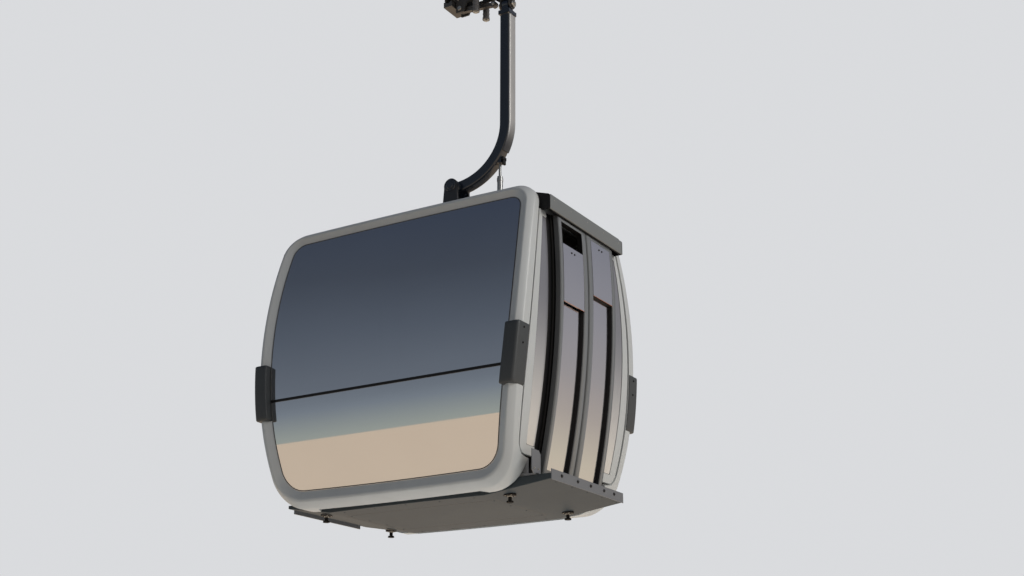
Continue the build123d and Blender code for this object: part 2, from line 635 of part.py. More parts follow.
def main():
    os.makedirs("parts", exist_ok=True)
    outer, inner = shell()

    ring = end_ring()
    save("ring_front", ring)
    save("ring_rear", mirror_y(ring))
    upper, lower, bar = end_glass()
    save("glass_front_upper", upper)
    save("glass_rear_upper", mirror_y(upper))
    save("glass_front_lower", lower)
    save("glass_rear_lower", mirror_y(lower))
    save("glass_dividers", [bar, mirror_y(bar)])

    panel = corner_panel(outer, inner)
    lens = corner_window()
    corners = (
        ("front_right", lambda s: s),
        ("rear_right", mirror_y),
        ("front_left", mirror_x),
        ("rear_left", lambda s: Rot(0, 0, 180) * s),
    )
    for name, place in corners:
        save(f"corner_panel_{name}", place(panel))
    save("corner_windows", [place(lens) for _, place in corners])
    pad = bumper(ring)
    save("bumpers", [place(pad) for _, place in corners])

    roof = (outer - inner) & level(WALL_HIGH + GAP, 2400)
    save("roof_panel", roof)
    save("floor_pan", outer & level(-100, FLOOR_TOP))
    cover, caps = header(outer)
    save("header_right", cover)
    save("header_left", mirror_x(cover))
    save("header_ends", caps + [mirror_x(cap) for cap in caps])
    save("door_rail", rod(RAIL_R, (RAIL_X, -HEADER_END + 8, height(RAIL_H)),
                          (RAIL_X, HEADER_END - 8, height(RAIL_H))))
    doorway = wall_band(0, -SHELL_IN, FLOOR_TOP + GAP, WALL_HIGH, -DOORWAY_HALF - 44, DOORWAY_HALF + 44)
    hole = block((800, 1500), (-DOORWAY_HALF, DOORWAY_HALF), (height(0), height(WALL_HIGH - 12)))
    save("door_seal", (doorway & front_keep()) - hole - outer)

    base = base_plate(outer)
    save("base_plate", base)
    strip = sill_strip()
    save("sill_strips", [strip, mirror_x(strip)])
    save("guide_brackets", [guide_bracket(y, outer) for y in (-560, 560)])
    save("feet", [foot(x, y, base) for x in (-796, 796) for y in (-408, 408)])

    bay, panes = left_bay()
    save("left_bay_frame", bay)
    save("left_bay_glass", panes)

    bench_frame, cushion = bench(inner)
    save("bench_frame_front", bench_frame)
    save("bench_frame_rear", mirror_y(bench_frame))
    save("bench_cushion_front", cushion)
    save("bench_cushion_rear", mirror_y(cushion))

    leaves = (("front", VENT_DROP, lambda s: s), ("rear", 0, mirror_y))
    for name, drop, place in leaves:
        frame, glass, seal, rubber, hangers = leaf(drop)
        save(f"door_{name}_frame", [place(p) for p in [frame] + hangers])
        save(f"door_{name}_glass", [place(p) for p in glass])
        save(f"door_{name}_seal", place(seal))
        save(f"door_{name}_rubber", [place(p) for p in rubber])

    save("hanger_arm", hanger())
    frame, pads, pin = suspension()
    save("suspension_frame", frame)
    save("suspension_pads", pads)
    save("suspension_pin", pin)
    strut, clevis = damper()
    save("damper", strut)
    save("damper_clevis", clevis - hanger())

    save("grip_frame", grip())
    px, pz = JAW_PIVOT
    save("jaw_pin", rod(JAW_PIN_R, (px, -52, pz), (px, 52, pz)))
    save("moving_jaw", moving_jaw())
    save("spring_packs", spring_packs())
    save("swing_pin", rod(PIN_R, (HANGER_X - 60, 0, PIVOT_Z), (HANGER_X + 60, 0, PIVOT_Z)))
    save("running_wheel_front", wheel(-WHEEL_Y))
    save("running_wheel_rear", wheel(WHEEL_Y))
    save("guide_roller", guide_roller())


def front_keep():
    """Space inside the outline of the rings' side faces."""
    return front_prism(barrel(0, RING_LOW, RING_HIGH, 285, 190))


if __name__ == "__main__":
    main()
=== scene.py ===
import json
import math
from itertools import product

import bmesh
import bpy
from mathutils import Matrix, Vector


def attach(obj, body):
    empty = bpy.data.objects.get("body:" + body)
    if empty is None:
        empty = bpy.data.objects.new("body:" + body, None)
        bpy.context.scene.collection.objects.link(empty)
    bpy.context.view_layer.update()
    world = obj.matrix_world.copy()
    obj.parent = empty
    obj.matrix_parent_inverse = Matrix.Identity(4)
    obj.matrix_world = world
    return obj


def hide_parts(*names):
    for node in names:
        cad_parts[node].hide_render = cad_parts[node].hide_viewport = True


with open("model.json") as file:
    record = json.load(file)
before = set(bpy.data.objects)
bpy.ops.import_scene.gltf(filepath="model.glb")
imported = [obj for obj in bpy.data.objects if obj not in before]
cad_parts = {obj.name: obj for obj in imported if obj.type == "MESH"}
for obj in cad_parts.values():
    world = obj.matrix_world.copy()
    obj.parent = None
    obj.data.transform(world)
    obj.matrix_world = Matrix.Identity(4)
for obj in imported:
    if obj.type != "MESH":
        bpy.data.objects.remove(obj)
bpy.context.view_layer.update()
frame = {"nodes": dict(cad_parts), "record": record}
scene = bpy.context.scene

# Camera of the photograph, in metres and degrees, and the floor under it
CAMERA_AT = (5.842, -8.694, -6.065)
PITCH, YAW, ROLL = math.radians(18.882), math.radians(31.270), math.radians(0.066)
FOCAL_PX, WIDTH_PX, SENSOR = 1422.7, 1024, 36.0
FLOOR_Z, FLOOR_HALF = -6.45, 120.0

# The part's own laws and sizes, in millimetres; heights h are over the belly plate
ROPE_H = 4260
WALL_HALF, WALL_R, WALL_H = 1168, 6000, 1500
END_H, END_DEPTH, END_R_UP, END_R_LOW = 800, 844, 4140, 2050
BACK_DEPTH, BACK_R_UP, BACK_R_LOW = 758, 4650, 2600
ARCH = 10
RING_WIDE = 110
GLASS_LOW, GLASS_HIGH, GLASS_CORNERS = 138, 2110, (190, 105)
LENS = ((-604, 300), (-646, 900), (-550, 1955))
LENS_EDGE, LENS_R = -494, 18
RING_LOW, RING_HIGH, RING_CORNERS, RING_PROUD = 16, 2206, (285, 190), 34
UNDERSIDE = (600, -9), (735, 48), (900, 118)
SHELL_BACK, SHELL_DEEP = -85, 28
SKIRT_END, SKIRT_HIGH, SKIRT_IN, TURN_R = 560, 217, 720, 90
GROOVE, PILLAR_END, WALL_HIGH = 20, 490, 2000
BUMPER_LOW, BUMPER_HIGH, BUMPER_WIDE = 661, 1090, 108
BUMPER_SIDE, BUMPER_NOSE, BUMPER_R, BUMPER_R_IN = 5, 60, 24, 11
LEAF_OUT, LEAF_IN, LEAF_LOW = 51, 12, 112
PANE_OUTER, PANE_MEET = 374, 68
PANE_LOW, SASH_SEAM, VENT_HIGH, VENT_DROP = 162, 1522, 1960, 165
HANGER_X, BEND_R, ARM_H = 515, 465, 2591
ARM_X = HANGER_X - BEND_R
TUBE_HALF, HANGER_HEAD = 46, ROPE_H - 246
STRUT_X = 452
ROOF_TOP = 2181
BEAM_HIGH = ROOF_TOP + 70
MOUNT_X, MOUNT_Y = (-440, 530), (-220, 220)
TREAD_X, TREAD_Y = (-700, -240), (-505, 275)
BASE_X, BASE_LEFT_X, BASE_END, BASE_TOP, BASE_FRONT = 1208, 1100, 484, 98, 560
BASE_MIDDLE, BOW_X, BOW_END = 560, 700, 540
RISE_X, RISE, RISE_LEFT = 665, 60, 75
BAR_HALF = 405
FOOT_X, FOOT_Y = 796, 408
GUIDE_NEAR, GUIDE_FAR, GUIDE_HIGH = 516, 630, 262
HEADER_IN, HEADER_OUT, HEADER_LOW, HEADER_HIGH, HEADER_TOP, HEADER_END = 955, 1218, 1994, 2108, 2184, 565

# Benches: a seat's width in metres, their places in millimetres
SEATS, SEAT_WIDE = 5, 0.388
SEAT_Y, BACK_H = -455, 731
BACK_LEAN = math.atan2(20, 420)

# The grip, in millimetres about the rope
GRIP_FACE = 46
JAW_PIVOT, LEVER_END = (79, -69), (390, -107)
SWING_PIN = (515, 0, -150)
SPRING_X, SPRINGS_Y = 262, (-78, 78)
WHEEL_X, WHEEL_Y, WHEEL_Z = 664, 130, 28

CORNERS = {"front_right": (1, 1), "rear_right": (1, -1), "front_left": (-1, 1), "rear_left": (-1, -1)}
ENDS = {"front": -1, "rear": 1}
SIDES = {"right": 1, "left": -1}
UP, DOWN, RIGHT = Vector((0, 0, 1)), Vector((0, 0, -1)), Vector((1, 0, 0))


def at(x, y, h):
    """Point from millimetres and a height over the belly plate."""
    return Vector((x / 1000, y / 1000, (h - ROPE_H) / 1000))


def by_rope(x, y, z):
    """Point from millimetres about the rope."""
    return Vector((x, y, z)) / 1000


def wall_x(offset, h):
    return WALL_HALF - WALL_R + math.sqrt((WALL_R + offset) ** 2 - (h - WALL_H) ** 2)


def end_y(offset, h):
    radius = END_R_UP if h >= END_H else END_R_LOW
    return END_DEPTH - radius + math.sqrt((radius + offset) ** 2 - (h - END_H) ** 2)


def back_y(h):
    """Distance from the cabin's middle to the back edge of a ring's side face."""
    radius = BACK_R_UP if h >= END_H else BACK_R_LOW
    return BACK_DEPTH - radius + math.sqrt(radius ** 2 - (h - END_H) ** 2)


def on_wall(side, offset, y, h):
    """Point on a side wall's arc and its outward normal."""
    angle = math.asin((h - WALL_H) / (WALL_R + offset))
    normal = Vector((side * math.cos(angle), 0, math.sin(angle)))
    return at(side * wall_x(offset, h), y, h), normal


def on_end(end, offset, x, h):
    """Point on an end's arc and its outward normal."""
    radius = END_R_UP if h >= END_H else END_R_LOW
    angle = math.asin((h - END_H) / (radius + offset))
    normal = Vector((0, end * math.cos(angle), math.sin(angle)))
    return at(x, end * end_y(offset, h), h), normal


def steps(low, high, count):
    return [low + (high - low) * i / (count - 1) for i in range(count)]


def up_wall(side, offset, y, low, high, count):
    """Spots up a side wall at one station."""
    return [on_wall(side, offset, y, h) for h in steps(low, high, count)]


# Materials

def fill_inputs(tree, made, inputs):
    """Sets a node's inputs; a socket among the values is linked."""
    for key, value in inputs.items():
        if isinstance(value, bpy.types.NodeSocket):
            tree.links.new(value, made.inputs[key])
        else:
            made.inputs[key].default_value = value


def node(tree, kind, inputs=None, **values):
    made = tree.nodes.new(kind)
    for key, value in values.items():
        setattr(made, key, value)
    fill_inputs(tree, made, inputs or {})
    return made


def noise(tree, coords, scale, detail=4.0, stretch=(1, 1, 1)):
    """Noise in the part's own coordinates, in metres."""
    mapping = node(tree, "ShaderNodeMapping", {"Vector": coords.outputs["Object"], "Scale": stretch})
    inputs = {"Vector": mapping.outputs[0], "Scale": scale, "Detail": detail}
    return node(tree, "ShaderNodeTexNoise", inputs).outputs["Fac"]


def ranged(tree, source, start, end, low=0.0, high=1.0, kind="LINEAR"):
    """A socket's value, carried from one range to another."""
    inputs = {"Value": source, "From Min": start, "From Max": end, "To Min": low, "To Max": high}
    return node(tree, "ShaderNodeMapRange", inputs, interpolation_type=kind).outputs[0]


def spread(tree, source, low, high):
    """Maps a noise onto a range of values."""
    return ranged(tree, source, 0.3, 0.7, low, high)


def height_mask(tree, coords, clear, full):
    """0 at the first height over the belly and 1 at the second, smoothly between."""
    split = node(tree, "ShaderNodeSeparateXYZ", {0: coords.outputs["Object"]})
    heights = [(h - ROPE_H) / 1000 for h in (clear, full)]
    return ranged(tree, split.outputs["Z"], *heights, kind="SMOOTHSTEP")


def mixed(tree, factor, first, second):
    """Colour between two colours or sockets."""
    inputs = {"Factor": factor}
    for key, value in ((6, first), (7, second)):
        inputs[key] = (*value, 1) if isinstance(value, tuple) else value
    return node(tree, "ShaderNodeMix", inputs, data_type="RGBA").outputs[2]


def maths(tree, operation, first, second):
    return node(tree, "ShaderNodeMath", {0: first, 1: second}, operation=operation).outputs[0]


def relief(tree, height, strength, depth):
    inputs = {"Strength": strength, "Distance": depth, "Height": height}
    return node(tree, "ShaderNodeBump", inputs).outputs[0]


MATERIALS = {}


def new_material(name):
    """Registers a material and gives its tree, its shader and its coordinates."""
    made = MATERIALS[name] = bpy.data.materials.new(name)
    made.use_nodes = True
    tree = made.node_tree
    return tree, tree.nodes["Principled BSDF"], node(tree, "ShaderNodeTexCoord")


def surface(name, colour, rough, metal=0.0, vary=0.12, blotch=3.0, grain=220.0, bump=0.05, rough_vary=0.08,
            stretch=(1, 1, 1), coat=0.0, grime=None, alpha=1.0, fade=None, grain_depth=0.0006, specular=0.5):
    """Procedural surface: cloudy colour, a fade by height, grime towards the belly, grain in gloss and bump."""
    tree, shader, coords = new_material(name)
    cloud = noise(tree, coords, blotch, 5.0, stretch)
    fine = noise(tree, coords, grain, 3.0, stretch)
    base = mixed(tree, spread(tree, cloud, 0.0, 0.6), colour, tuple(c * (1 - vary) for c in colour))
    # For the corner glass this fade is a painted reflection of the warm ground; for the hanger tube's strip it is
    # painted shade down the bend
    if fade:
        base = mixed(tree, height_mask(tree, coords, fade[1], fade[2]), base, fade[0])
    if grime:
        patches = spread(tree, noise(tree, coords, 9.0, 6.0, (1, 1, 0.25)), 0.1, grime[1])
        share = maths(tree, "MULTIPLY", height_mask(tree, coords, 700, 20), patches)
        base = mixed(tree, share, base, grime[0])
    fill_inputs(tree, shader, {
        "Base Color": base, "Roughness": spread(tree, fine, rough - rough_vary / 2, rough + rough_vary),
        "Normal": relief(tree, fine, bump, grain_depth), "Metallic": metal, "Alpha": alpha,
        "Coat Weight": coat, "Coat Roughness": 0.08, "Specular IOR Level": specular,
    })
    return MATERIALS[name]


def weave(name, colour, thread=0.0022):
    """Woven seat cloth from two crossed waves."""
    tree, shader, coords = new_material(name)
    waves = []
    for direction in ("X", "Y"):
        inputs = {"Vector": coords.outputs["Object"], "Scale": 0.31 / thread, "Distortion": 0.4}
        waves.append(node(tree, "ShaderNodeTexWave", inputs, bands_direction=direction).outputs["Fac"])
    cross = maths(tree, "MULTIPLY", *waves)
    cloud = spread(tree, noise(tree, coords, 5.0), 0.0, 0.5)
    cloth = mixed(tree, cloud, colour, tuple(c * 0.75 for c in colour))
    fill_inputs(tree, shader, {
        "Base Color": mixed(tree, cross, cloth, tuple(min(1, c * 1.7 + 0.02) for c in colour)),
        "Normal": relief(tree, cross, 0.5, 0.0008), "Roughness": 0.85, "Sheen Weight": 0.25,
    })


# One finish per slot of the record
DUST = (0.38, 0.37, 0.345)
surface("ring_paint", (0.62, 0.63, 0.61), 0.36, vary=0.07, coat=0.2, grime=(DUST, 0.2))
surface("roof_paint", (0.60, 0.61, 0.59), 0.42, blotch=5.0, bump=0.1)
surface("tinted_glass", (0.65, 0.67, 0.70), 0.035, metal=1.0, vary=0.05, blotch=1.6, rough_vary=0.02,
        bump=0.012, grain=2.2, grain_depth=0.004, alpha=0.93)
surface("door_glass", (0.70, 0.69, 0.73), 0.09, metal=1.0, vary=0.05, blotch=2.0, rough_vary=0.03,
        bump=0.012, grain=3.0, grain_depth=0.004, alpha=0.94, fade=((0.66, 0.70, 0.76), 900, 200))
surface("divider_black", (0.008, 0.008, 0.009), 0.35, vary=0.3, specular=0.25)
surface("panel_black", (0.010, 0.010, 0.011), 0.5, vary=0.25, bump=0.12, specular=0.2)
surface("floor_metal", (0.40, 0.41, 0.41), 0.45, metal=0.7, vary=0.25, grime=(DUST, 0.5))
surface("header_paint", (0.19, 0.195, 0.186), 0.36, vary=0.1, coat=0.2, blotch=4.0)
surface("base_paint", (0.026, 0.040, 0.051), 0.55, vary=0.2, blotch=3.5, bump=0.16,
        grime=((0.034, 0.048, 0.058), 0.5))
surface("sill_metal", (0.222, 0.227, 0.238), 0.36, metal=0.4, vary=0.15, stretch=(1, 0.1, 1))
surface("bumper_rubber", (0.045, 0.052, 0.056), 0.46, vary=0.25, grain=650, bump=0.35)
surface("seal_rubber", (0.009, 0.009, 0.0095), 0.6, vary=0.3, grain=500, bump=0.3, specular=0.2)
# Door leaf paint: the ring's pale grey, darkened as painted shade of the leaves
surface("leaf_paint", (0.185, 0.192, 0.194), 0.34, vary=0.08, coat=0.3, grime=(DUST, 0.2))
surface("rail_steel", (0.55, 0.55, 0.56), 0.26, metal=1.0, stretch=(1, 0.08, 1))
surface("seat_shell", (0.11, 0.115, 0.12), 0.5, vary=0.2, grain=420, bump=0.3)
weave("seat_cushion", (0.13, 0.05, 0.045))
surface("hanger_paint", (0.010, 0.016, 0.028), 0.26, vary=0.2, coat=0.5, bump=0.02)
surface("frame_paint", (0.018, 0.021, 0.027), 0.4, vary=0.2, bump=0.12)
surface("damper_metal", (0.34, 0.34, 0.33), 0.26, metal=0.8, vary=0.2)
surface("grip_metal", (0.065, 0.063, 0.062), 0.55, metal=0.35, vary=0.35, blotch=14, grain=300, bump=0.5)
surface("jaw_metal", (0.14, 0.135, 0.13), 0.40, metal=0.8, vary=0.3, blotch=14, bump=0.25)
surface("spring_paint", (0.17, 0.16, 0.155), 0.4, vary=0.2, blotch=10, bump=0.1)
surface("wheel_tread", (0.035, 0.035, 0.038), 0.6, vary=0.3, grain=400, bump=0.3)

# Finishes of pieces that differ from their slot
# Corner window glass: dark tint, turning pale warm beige towards the bottom as a painted reflection of the warm ground
surface("corner_glass_painted_reflection", (0.265, 0.26, 0.28), 0.14, metal=0.25, vary=0.05, blotch=2.0, rough_vary=0.03,
        bump=0.012, grain=3.0, grain_depth=0.004, coat=0.3, fade=((0.80, 0.77, 0.73), 1450, 300))
# Pale strip on the hanger's +X face: painted highlight of the lit side, fading to painted shade in the hanger's dark
# colour down the bend
surface("tube_painted_highlight", (0.50, 0.485, 0.46), 0.34, metal=0.3, blotch=4.0, fade=((0.035, 0.042, 0.056), 3080, 2840))
surface("leaf_rubber", (0.12, 0.126, 0.128), 0.5, vary=0.25, grain=500, bump=0.25)
surface("seam_orange", (0.50, 0.19, 0.09), 0.4, vary=0.2, grain=400)
surface("gasket_grey", (0.075, 0.078, 0.08), 0.5, vary=0.25, grain=500, bump=0.25)
surface("bolt_zinc", (0.48, 0.48, 0.46), 0.32, metal=0.9, vary=0.25, blotch=30)
surface("bolt_black", (0.018, 0.018, 0.02), 0.4, vary=0.3, blotch=30)
surface("floor_mat", (0.05, 0.052, 0.055), 0.7, vary=0.3, grain=500, bump=0.4)
surface("ceiling", (0.55, 0.55, 0.53), 0.6, vary=0.1, blotch=5)
surface("tread_mat", (0.09, 0.092, 0.095), 0.75, vary=0.25, grain=700, bump=0.8)
surface("weld", (0.016, 0.024, 0.04), 0.35, vary=0.25, grain=160, bump=0.6, coat=0.3)
surface("lamp", (0.75, 0.76, 0.74), 0.3, vary=0.05)


def dress_cad():
    """Gives every CAD node its finish and eases the edges of the rigid ones."""
    eased = {
        2.0: ("hanger_arm",),
        1.5: ("grip_frame", "moving_jaw"),
        1.2: ("door_front_frame", "door_rear_frame", "left_bay_frame", *(f"corner_panel_{name}" for name in CORNERS)),
    }
    widths = {name: width for width, names in eased.items() for name in names}
    special = {"door_front_rubber": "leaf_rubber", "door_rear_rubber": "leaf_rubber"}
    for part in frame["record"]["subparts"]:
        cad = frame["nodes"][part["node"]]
        for slot in cad.material_slots:
            slot.material = MATERIALS[special.get(part["node"], part["material_slot"])]
        if part["node"] in widths:
            weld = cad.modifiers.new("weld", "WELD")
            weld.merge_threshold = 0.00002
            bevel = cad.modifiers.new("ease", "BEVEL")
            bevel.width = widths[part["node"]] / 1000
            bevel.segments = 2
            bevel.limit_method = "ANGLE"
            bevel.angle_limit = math.radians(40)
            bevel.harden_normals = True


# Mesh helpers: sections, radii and profiles in millimetres, points in metres

def facing(point, normal, spin=0.0):
    turn = normal.to_track_quat("Z", "Y").to_matrix().to_4x4()
    return Matrix.Translation(point) @ turn @ Matrix.Rotation(spin, 4, "Z")


def round_of(count, radius, start=0.0):
    """Angles and points evenly round a circle."""
    angles = [start + 2 * math.pi * i / count for i in range(count)]
    return [(a, radius * math.cos(a), radius * math.sin(a)) for a in angles]


def lathe(bm, profile, place, count):
    """Turned form about the place's Z from (radius, height) pairs."""
    rings = []
    for radius, z in profile:
        if radius < 0.001:
            rings.append([bm.verts.new(place @ Vector((0, 0, z / 1000)))])
            continue
        rings.append([bm.verts.new(place @ Vector((u / 1000, v / 1000, z / 1000)))
                      for _, u, v in round_of(count, radius)])
    for low, high in zip(rings, rings[1:]):
        for i in range(count):
            j = (i + 1) % count
            loop = [low[i % len(low)], low[j % len(low)], high[j % len(high)], high[i % len(high)]]
            loop = list(dict.fromkeys(loop))
            if len(loop) > 2:
                bm.faces.new(loop)


def bolt(bm, point, normal, size, spin=0.0, washer=1.0):
    """Hexagon bolt head on a washer; size is the head's radius."""
    place = facing(point, normal, spin)
    top = 1.8 * washer
    if washer:
        rim = size * 1.5 * washer
        lathe(bm, [(0, 0), (rim, 0), (rim, top - 0.5), (rim - 0.5, top), (0, top)], place, 24)
    high = top + size * 0.72
    lathe(bm, [(0, top), (size, top), (size, high - size * 0.14), (size * 0.86, high), (0, high)], place, 6)


def screw(bm, point, normal, size):
    """Button head with a socket."""
    shape = ((0, 0), (1, 0), (1, 0.2), (0.82, 0.48), (0.5, 0.62), (0.4, 0.62), (0.36, 0.25), (0, 0.25))
    lathe(bm, [(r * size, z * size) for r, z in shape], facing(point, normal), 14)


def merge(bm, part):
    mesh = bpy.data.meshes.new("part")
    part.to_mesh(mesh)
    part.free()
    bm.from_mesh(mesh)
    bpy.data.meshes.remove(mesh)


def slab(bm, low, high, ease, place=None, segments=2):
    """Box between two corners in metres, with eased edges; ease in millimetres."""
    part = bmesh.new()
    bmesh.ops.create_cube(part, size=1)
    size = high - low
    for vert in part.verts:
        vert.co = Vector([(low[i] + high[i]) / 2 + vert.co[i] * size[i] for i in range(3)])
    bmesh.ops.bevel(part, geom=part.edges[:], offset=ease / 1000, segments=segments, profile=0.5, affect="EDGES")
    if place:
        part.transform(place)
    merge(bm, part)


def join_rows(bm, rows, closed=False):
    """Faces between rows of points, each row a closed loop; open runs are capped."""
    rows = [[bm.verts.new(point) for point in row] for row in rows]
    pairs = list(zip(rows, rows[1:]))
    if closed:
        pairs.append((rows[-1], rows[0]))
    size = len(rows[0])
    for low, high in pairs:
        for i in range(size):
            j = (i + 1) % size
            bm.faces.new([low[i], low[j], high[j], high[i]])
    if not closed:
        bm.faces.new(list(reversed(rows[0])))
        bm.faces.new(rows[-1])


def band(bm, spots, section, closed=False):
    """Carries a section of (across, proud) along (point, normal) spots."""
    rings = []
    count = len(spots)
    for i, (point, normal) in enumerate(spots):
        before = spots[i - 1][0] if closed or i else point
        after = spots[(i + 1) % count][0] if closed or i + 1 < count else point
        across = (after - before).cross(normal).normalized()
        rings.append([point + across * u / 1000 + normal * v / 1000 for u, v in section])
    join_rows(bm, rings, closed)


def tube(bm, path, radius, count):
    """Round bar along points, closed at both ends."""
    rings = []
    side = None
    for i, point in enumerate(path):
        run = (path[min(i + 1, len(path) - 1)] - path[max(i - 1, 0)]).normalized()
        if side is None:
            side = run.orthogonal()
        side = (side - run * side.dot(run)).normalized()
        other = run.cross(side)
        turns = [2 * math.pi * k / count for k in range(count)]
        rings.append([point + (side * math.cos(a) + other * math.sin(a)) * radius / 1000 for a in turns])
    join_rows(bm, rings)


def plate(bm, outline, y_from, y_to):
    """Polygon of (x, h) points, carried along the travel."""
    join_rows(bm, [[at(x, y, h) for x, h in outline] for y in (y_from, y_to)])


def skin_strip(bm, side, front, rows, outer, inner):
    """Curved plate on a side wall from rows of (height, first y, last y)."""
    loops = []
    for h, near, far in rows:
        corners = ((outer, near), (outer, far), (inner, far), (inner, near))
        loops.append([on_wall(side, offset, front * y, h)[0] for offset, y in corners])
    join_rows(bm, loops)


def bead(wide, proud, count=7):
    """Section of a rounded lip: flat foot and a half-round top."""
    arc = [math.pi * i / (count - 1) for i in range(count)]
    return [(math.cos(a) * wide / 2, math.sin(a) * proud) for a in arc]


def flat(foot, top, low, high):
    """Section with straight flanks, from its half widths and heights."""
    return [(-foot, low), (foot, low), (top, high), (-top, high)]


def build(name, slot, finish=None, body="cabin", sharp=32):
    """Decorator: the function fills a bmesh, which becomes a piece that rides on a body."""
    def make(fill):
        bm = bmesh.new()
        fill(bm)
        bmesh.ops.recalc_face_normals(bm, faces=bm.faces[:])
        for face in bm.faces:
            face.smooth = True
        for edge in bm.edges:
            if len(edge.link_faces) == 2 and edge.calc_face_angle(0) > math.radians(sharp):
                edge.smooth = False
        mesh = bpy.data.meshes.new(name)
        bm.to_mesh(mesh)
        bm.free()
        mesh.materials.append(MATERIALS[finish or slot])
        piece = bpy.data.objects.new(name, mesh)
        scene.collection.objects.link(piece)
        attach(piece, body)
        return piece
    return make


def fasteners(name, slot, head, spots, finish="bolt_zinc", body="cabin"):
    """Piece of bolts or screws, each from its point, its direction and its sizes."""
    @build(name, slot, finish, body)
    def _(bm):
        for spot in spots:
            head(bm, *spot)


def strips(name, slot, section, runs, finish=None, body="cabin", closed=False):
    """Piece of one section carried along each run of spots."""
    @build(name, slot, finish, body)
    def _(bm):
        for spots in runs:
            band(bm, spots, section, closed)


def turned(name, slot, profile, count, places, body="cabin", sharp=32):
    """Piece of one turned form at each point, about its direction."""
    @build(name, slot, None, body, sharp)
    def _(bm):
        for place in places:
            lathe(bm, profile, facing(*place), count)


# Outlines

def end_loop(grow, low, high, corners, samples=18, flats=12):
    """Loop of (x, h) round an end: bulged sides, arched top and bottom, round corners."""
    halves = []
    for radius, base, sign in ((corners[0], low - grow, -1), (corners[1], high + grow, 1)):
        radius = radius + grow
        hc = base - sign * radius
        half = wall_x(grow - RING_WIDE, base)
        for _ in range(4):
            cx = wall_x(grow - RING_WIDE - radius, hc)
            hc = base + sign * ARCH * (1 - (cx / half) ** 2) - sign * radius
        lean = math.asin((hc - WALL_H) / WALL_R)
        level = [(x, base + sign * ARCH * (1 - (x / half) ** 2)) for x in steps(0, cx, flats)]
        turn = steps(sign * math.pi / 2, lean, samples)[1:]
        halves.append(level + [(cx + radius * math.cos(a), hc + radius * math.sin(a)) for a in turn])
    lower, upper = halves
    sides = [(wall_x(grow - RING_WIDE, h), h) for h in steps(lower[-1][1], upper[-1][1], 40)[1:-1]]
    half_loop = lower + sides + list(reversed(upper))
    return half_loop + [(-x, h) for x, h in reversed(half_loop[1:-1])]


def arc_through(first, middle, last, count):
    """Points on the circle through three points."""
    (x1, y1), (x2, y2), (x3, y3) = first, middle, last
    d = 2 * (x1 * (y2 - y3) + x2 * (y3 - y1) + x3 * (y1 - y2))
    s1, s2, s3 = x1 * x1 + y1 * y1, x2 * x2 + y2 * y2, x3 * x3 + y3 * y3
    cx = (s1 * (y2 - y3) + s2 * (y3 - y1) + s3 * (y1 - y2)) / d
    cy = (s1 * (x3 - x2) + s2 * (x1 - x3) + s3 * (x2 - x1)) / d
    radius = math.hypot(x1 - cx, y1 - cy)
    start = math.atan2(y1 - cy, x1 - cx) % (2 * math.pi)
    end = math.atan2(y3 - cy, x3 - cx) % (2 * math.pi)
    return [(cx + radius * math.cos(a), cy + radius * math.sin(a)) for a in steps(start, end, count)]


def rounded(points, radius, samples=5):
    """Closed loop with its sharp corners turned to a radius."""
    out = []
    count = len(points)
    for i, point in enumerate(points):
        p, a, b = Vector(point), Vector(points[i - 1]), Vector(points[(i + 1) % count])
        to_a, to_b = (a - p).normalized(), (b - p).normalized()
        angle = to_a.angle(to_b)
        if angle > math.radians(150):
            out.append(tuple(p))
            continue
        trim = radius / math.tan(angle / 2)
        start, end = p + to_a * trim, p + to_b * trim
        for t in steps(0, 1, samples):
            out.append(tuple(start * (1 - t) ** 2 + p * 2 * t * (1 - t) + end * t * t))
    return out


def lens_loop(shrink):
    """Loop of (y, h) round a corner window."""
    (y1, h1), (y2, h2), (y3, h3) = LENS
    arc = arc_through((y1, h1 + shrink), (y2 + shrink, h2), (y3, h3 - shrink), 26)
    edge = LENS_EDGE - shrink
    return rounded(arc + [(edge, h3 - shrink), (edge, h1 + shrink)], max(4.0, LENS_R - shrink))


# Main forms that replace plainer solids

def ring_back(x, h):
    """Back edge of a ring's side face, with the skirt at its lower corners."""
    back = back_y(h)
    if abs(x) < SKIRT_IN or h > SKIRT_HIGH + TURN_R:
        return back
    if h <= SKIRT_HIGH:
        return SKIRT_END
    return back - TURN_R + math.sqrt(TURN_R ** 2 - (SKIRT_HIGH + TURN_R - h) ** 2)


def above_slope(y, h):
    """Height of a ring's point, kept over the sloped underside of its lower edge."""
    (y0, h0), (y1, h1), (y2, h2) = UNDERSIDE
    if y < y0:
        return h
    return max(h, h0 + (y - y0) * (h1 - h0) / (y1 - y0) if y < y1 else h1 + (y - y1) * (h2 - h1) / (y2 - y1))


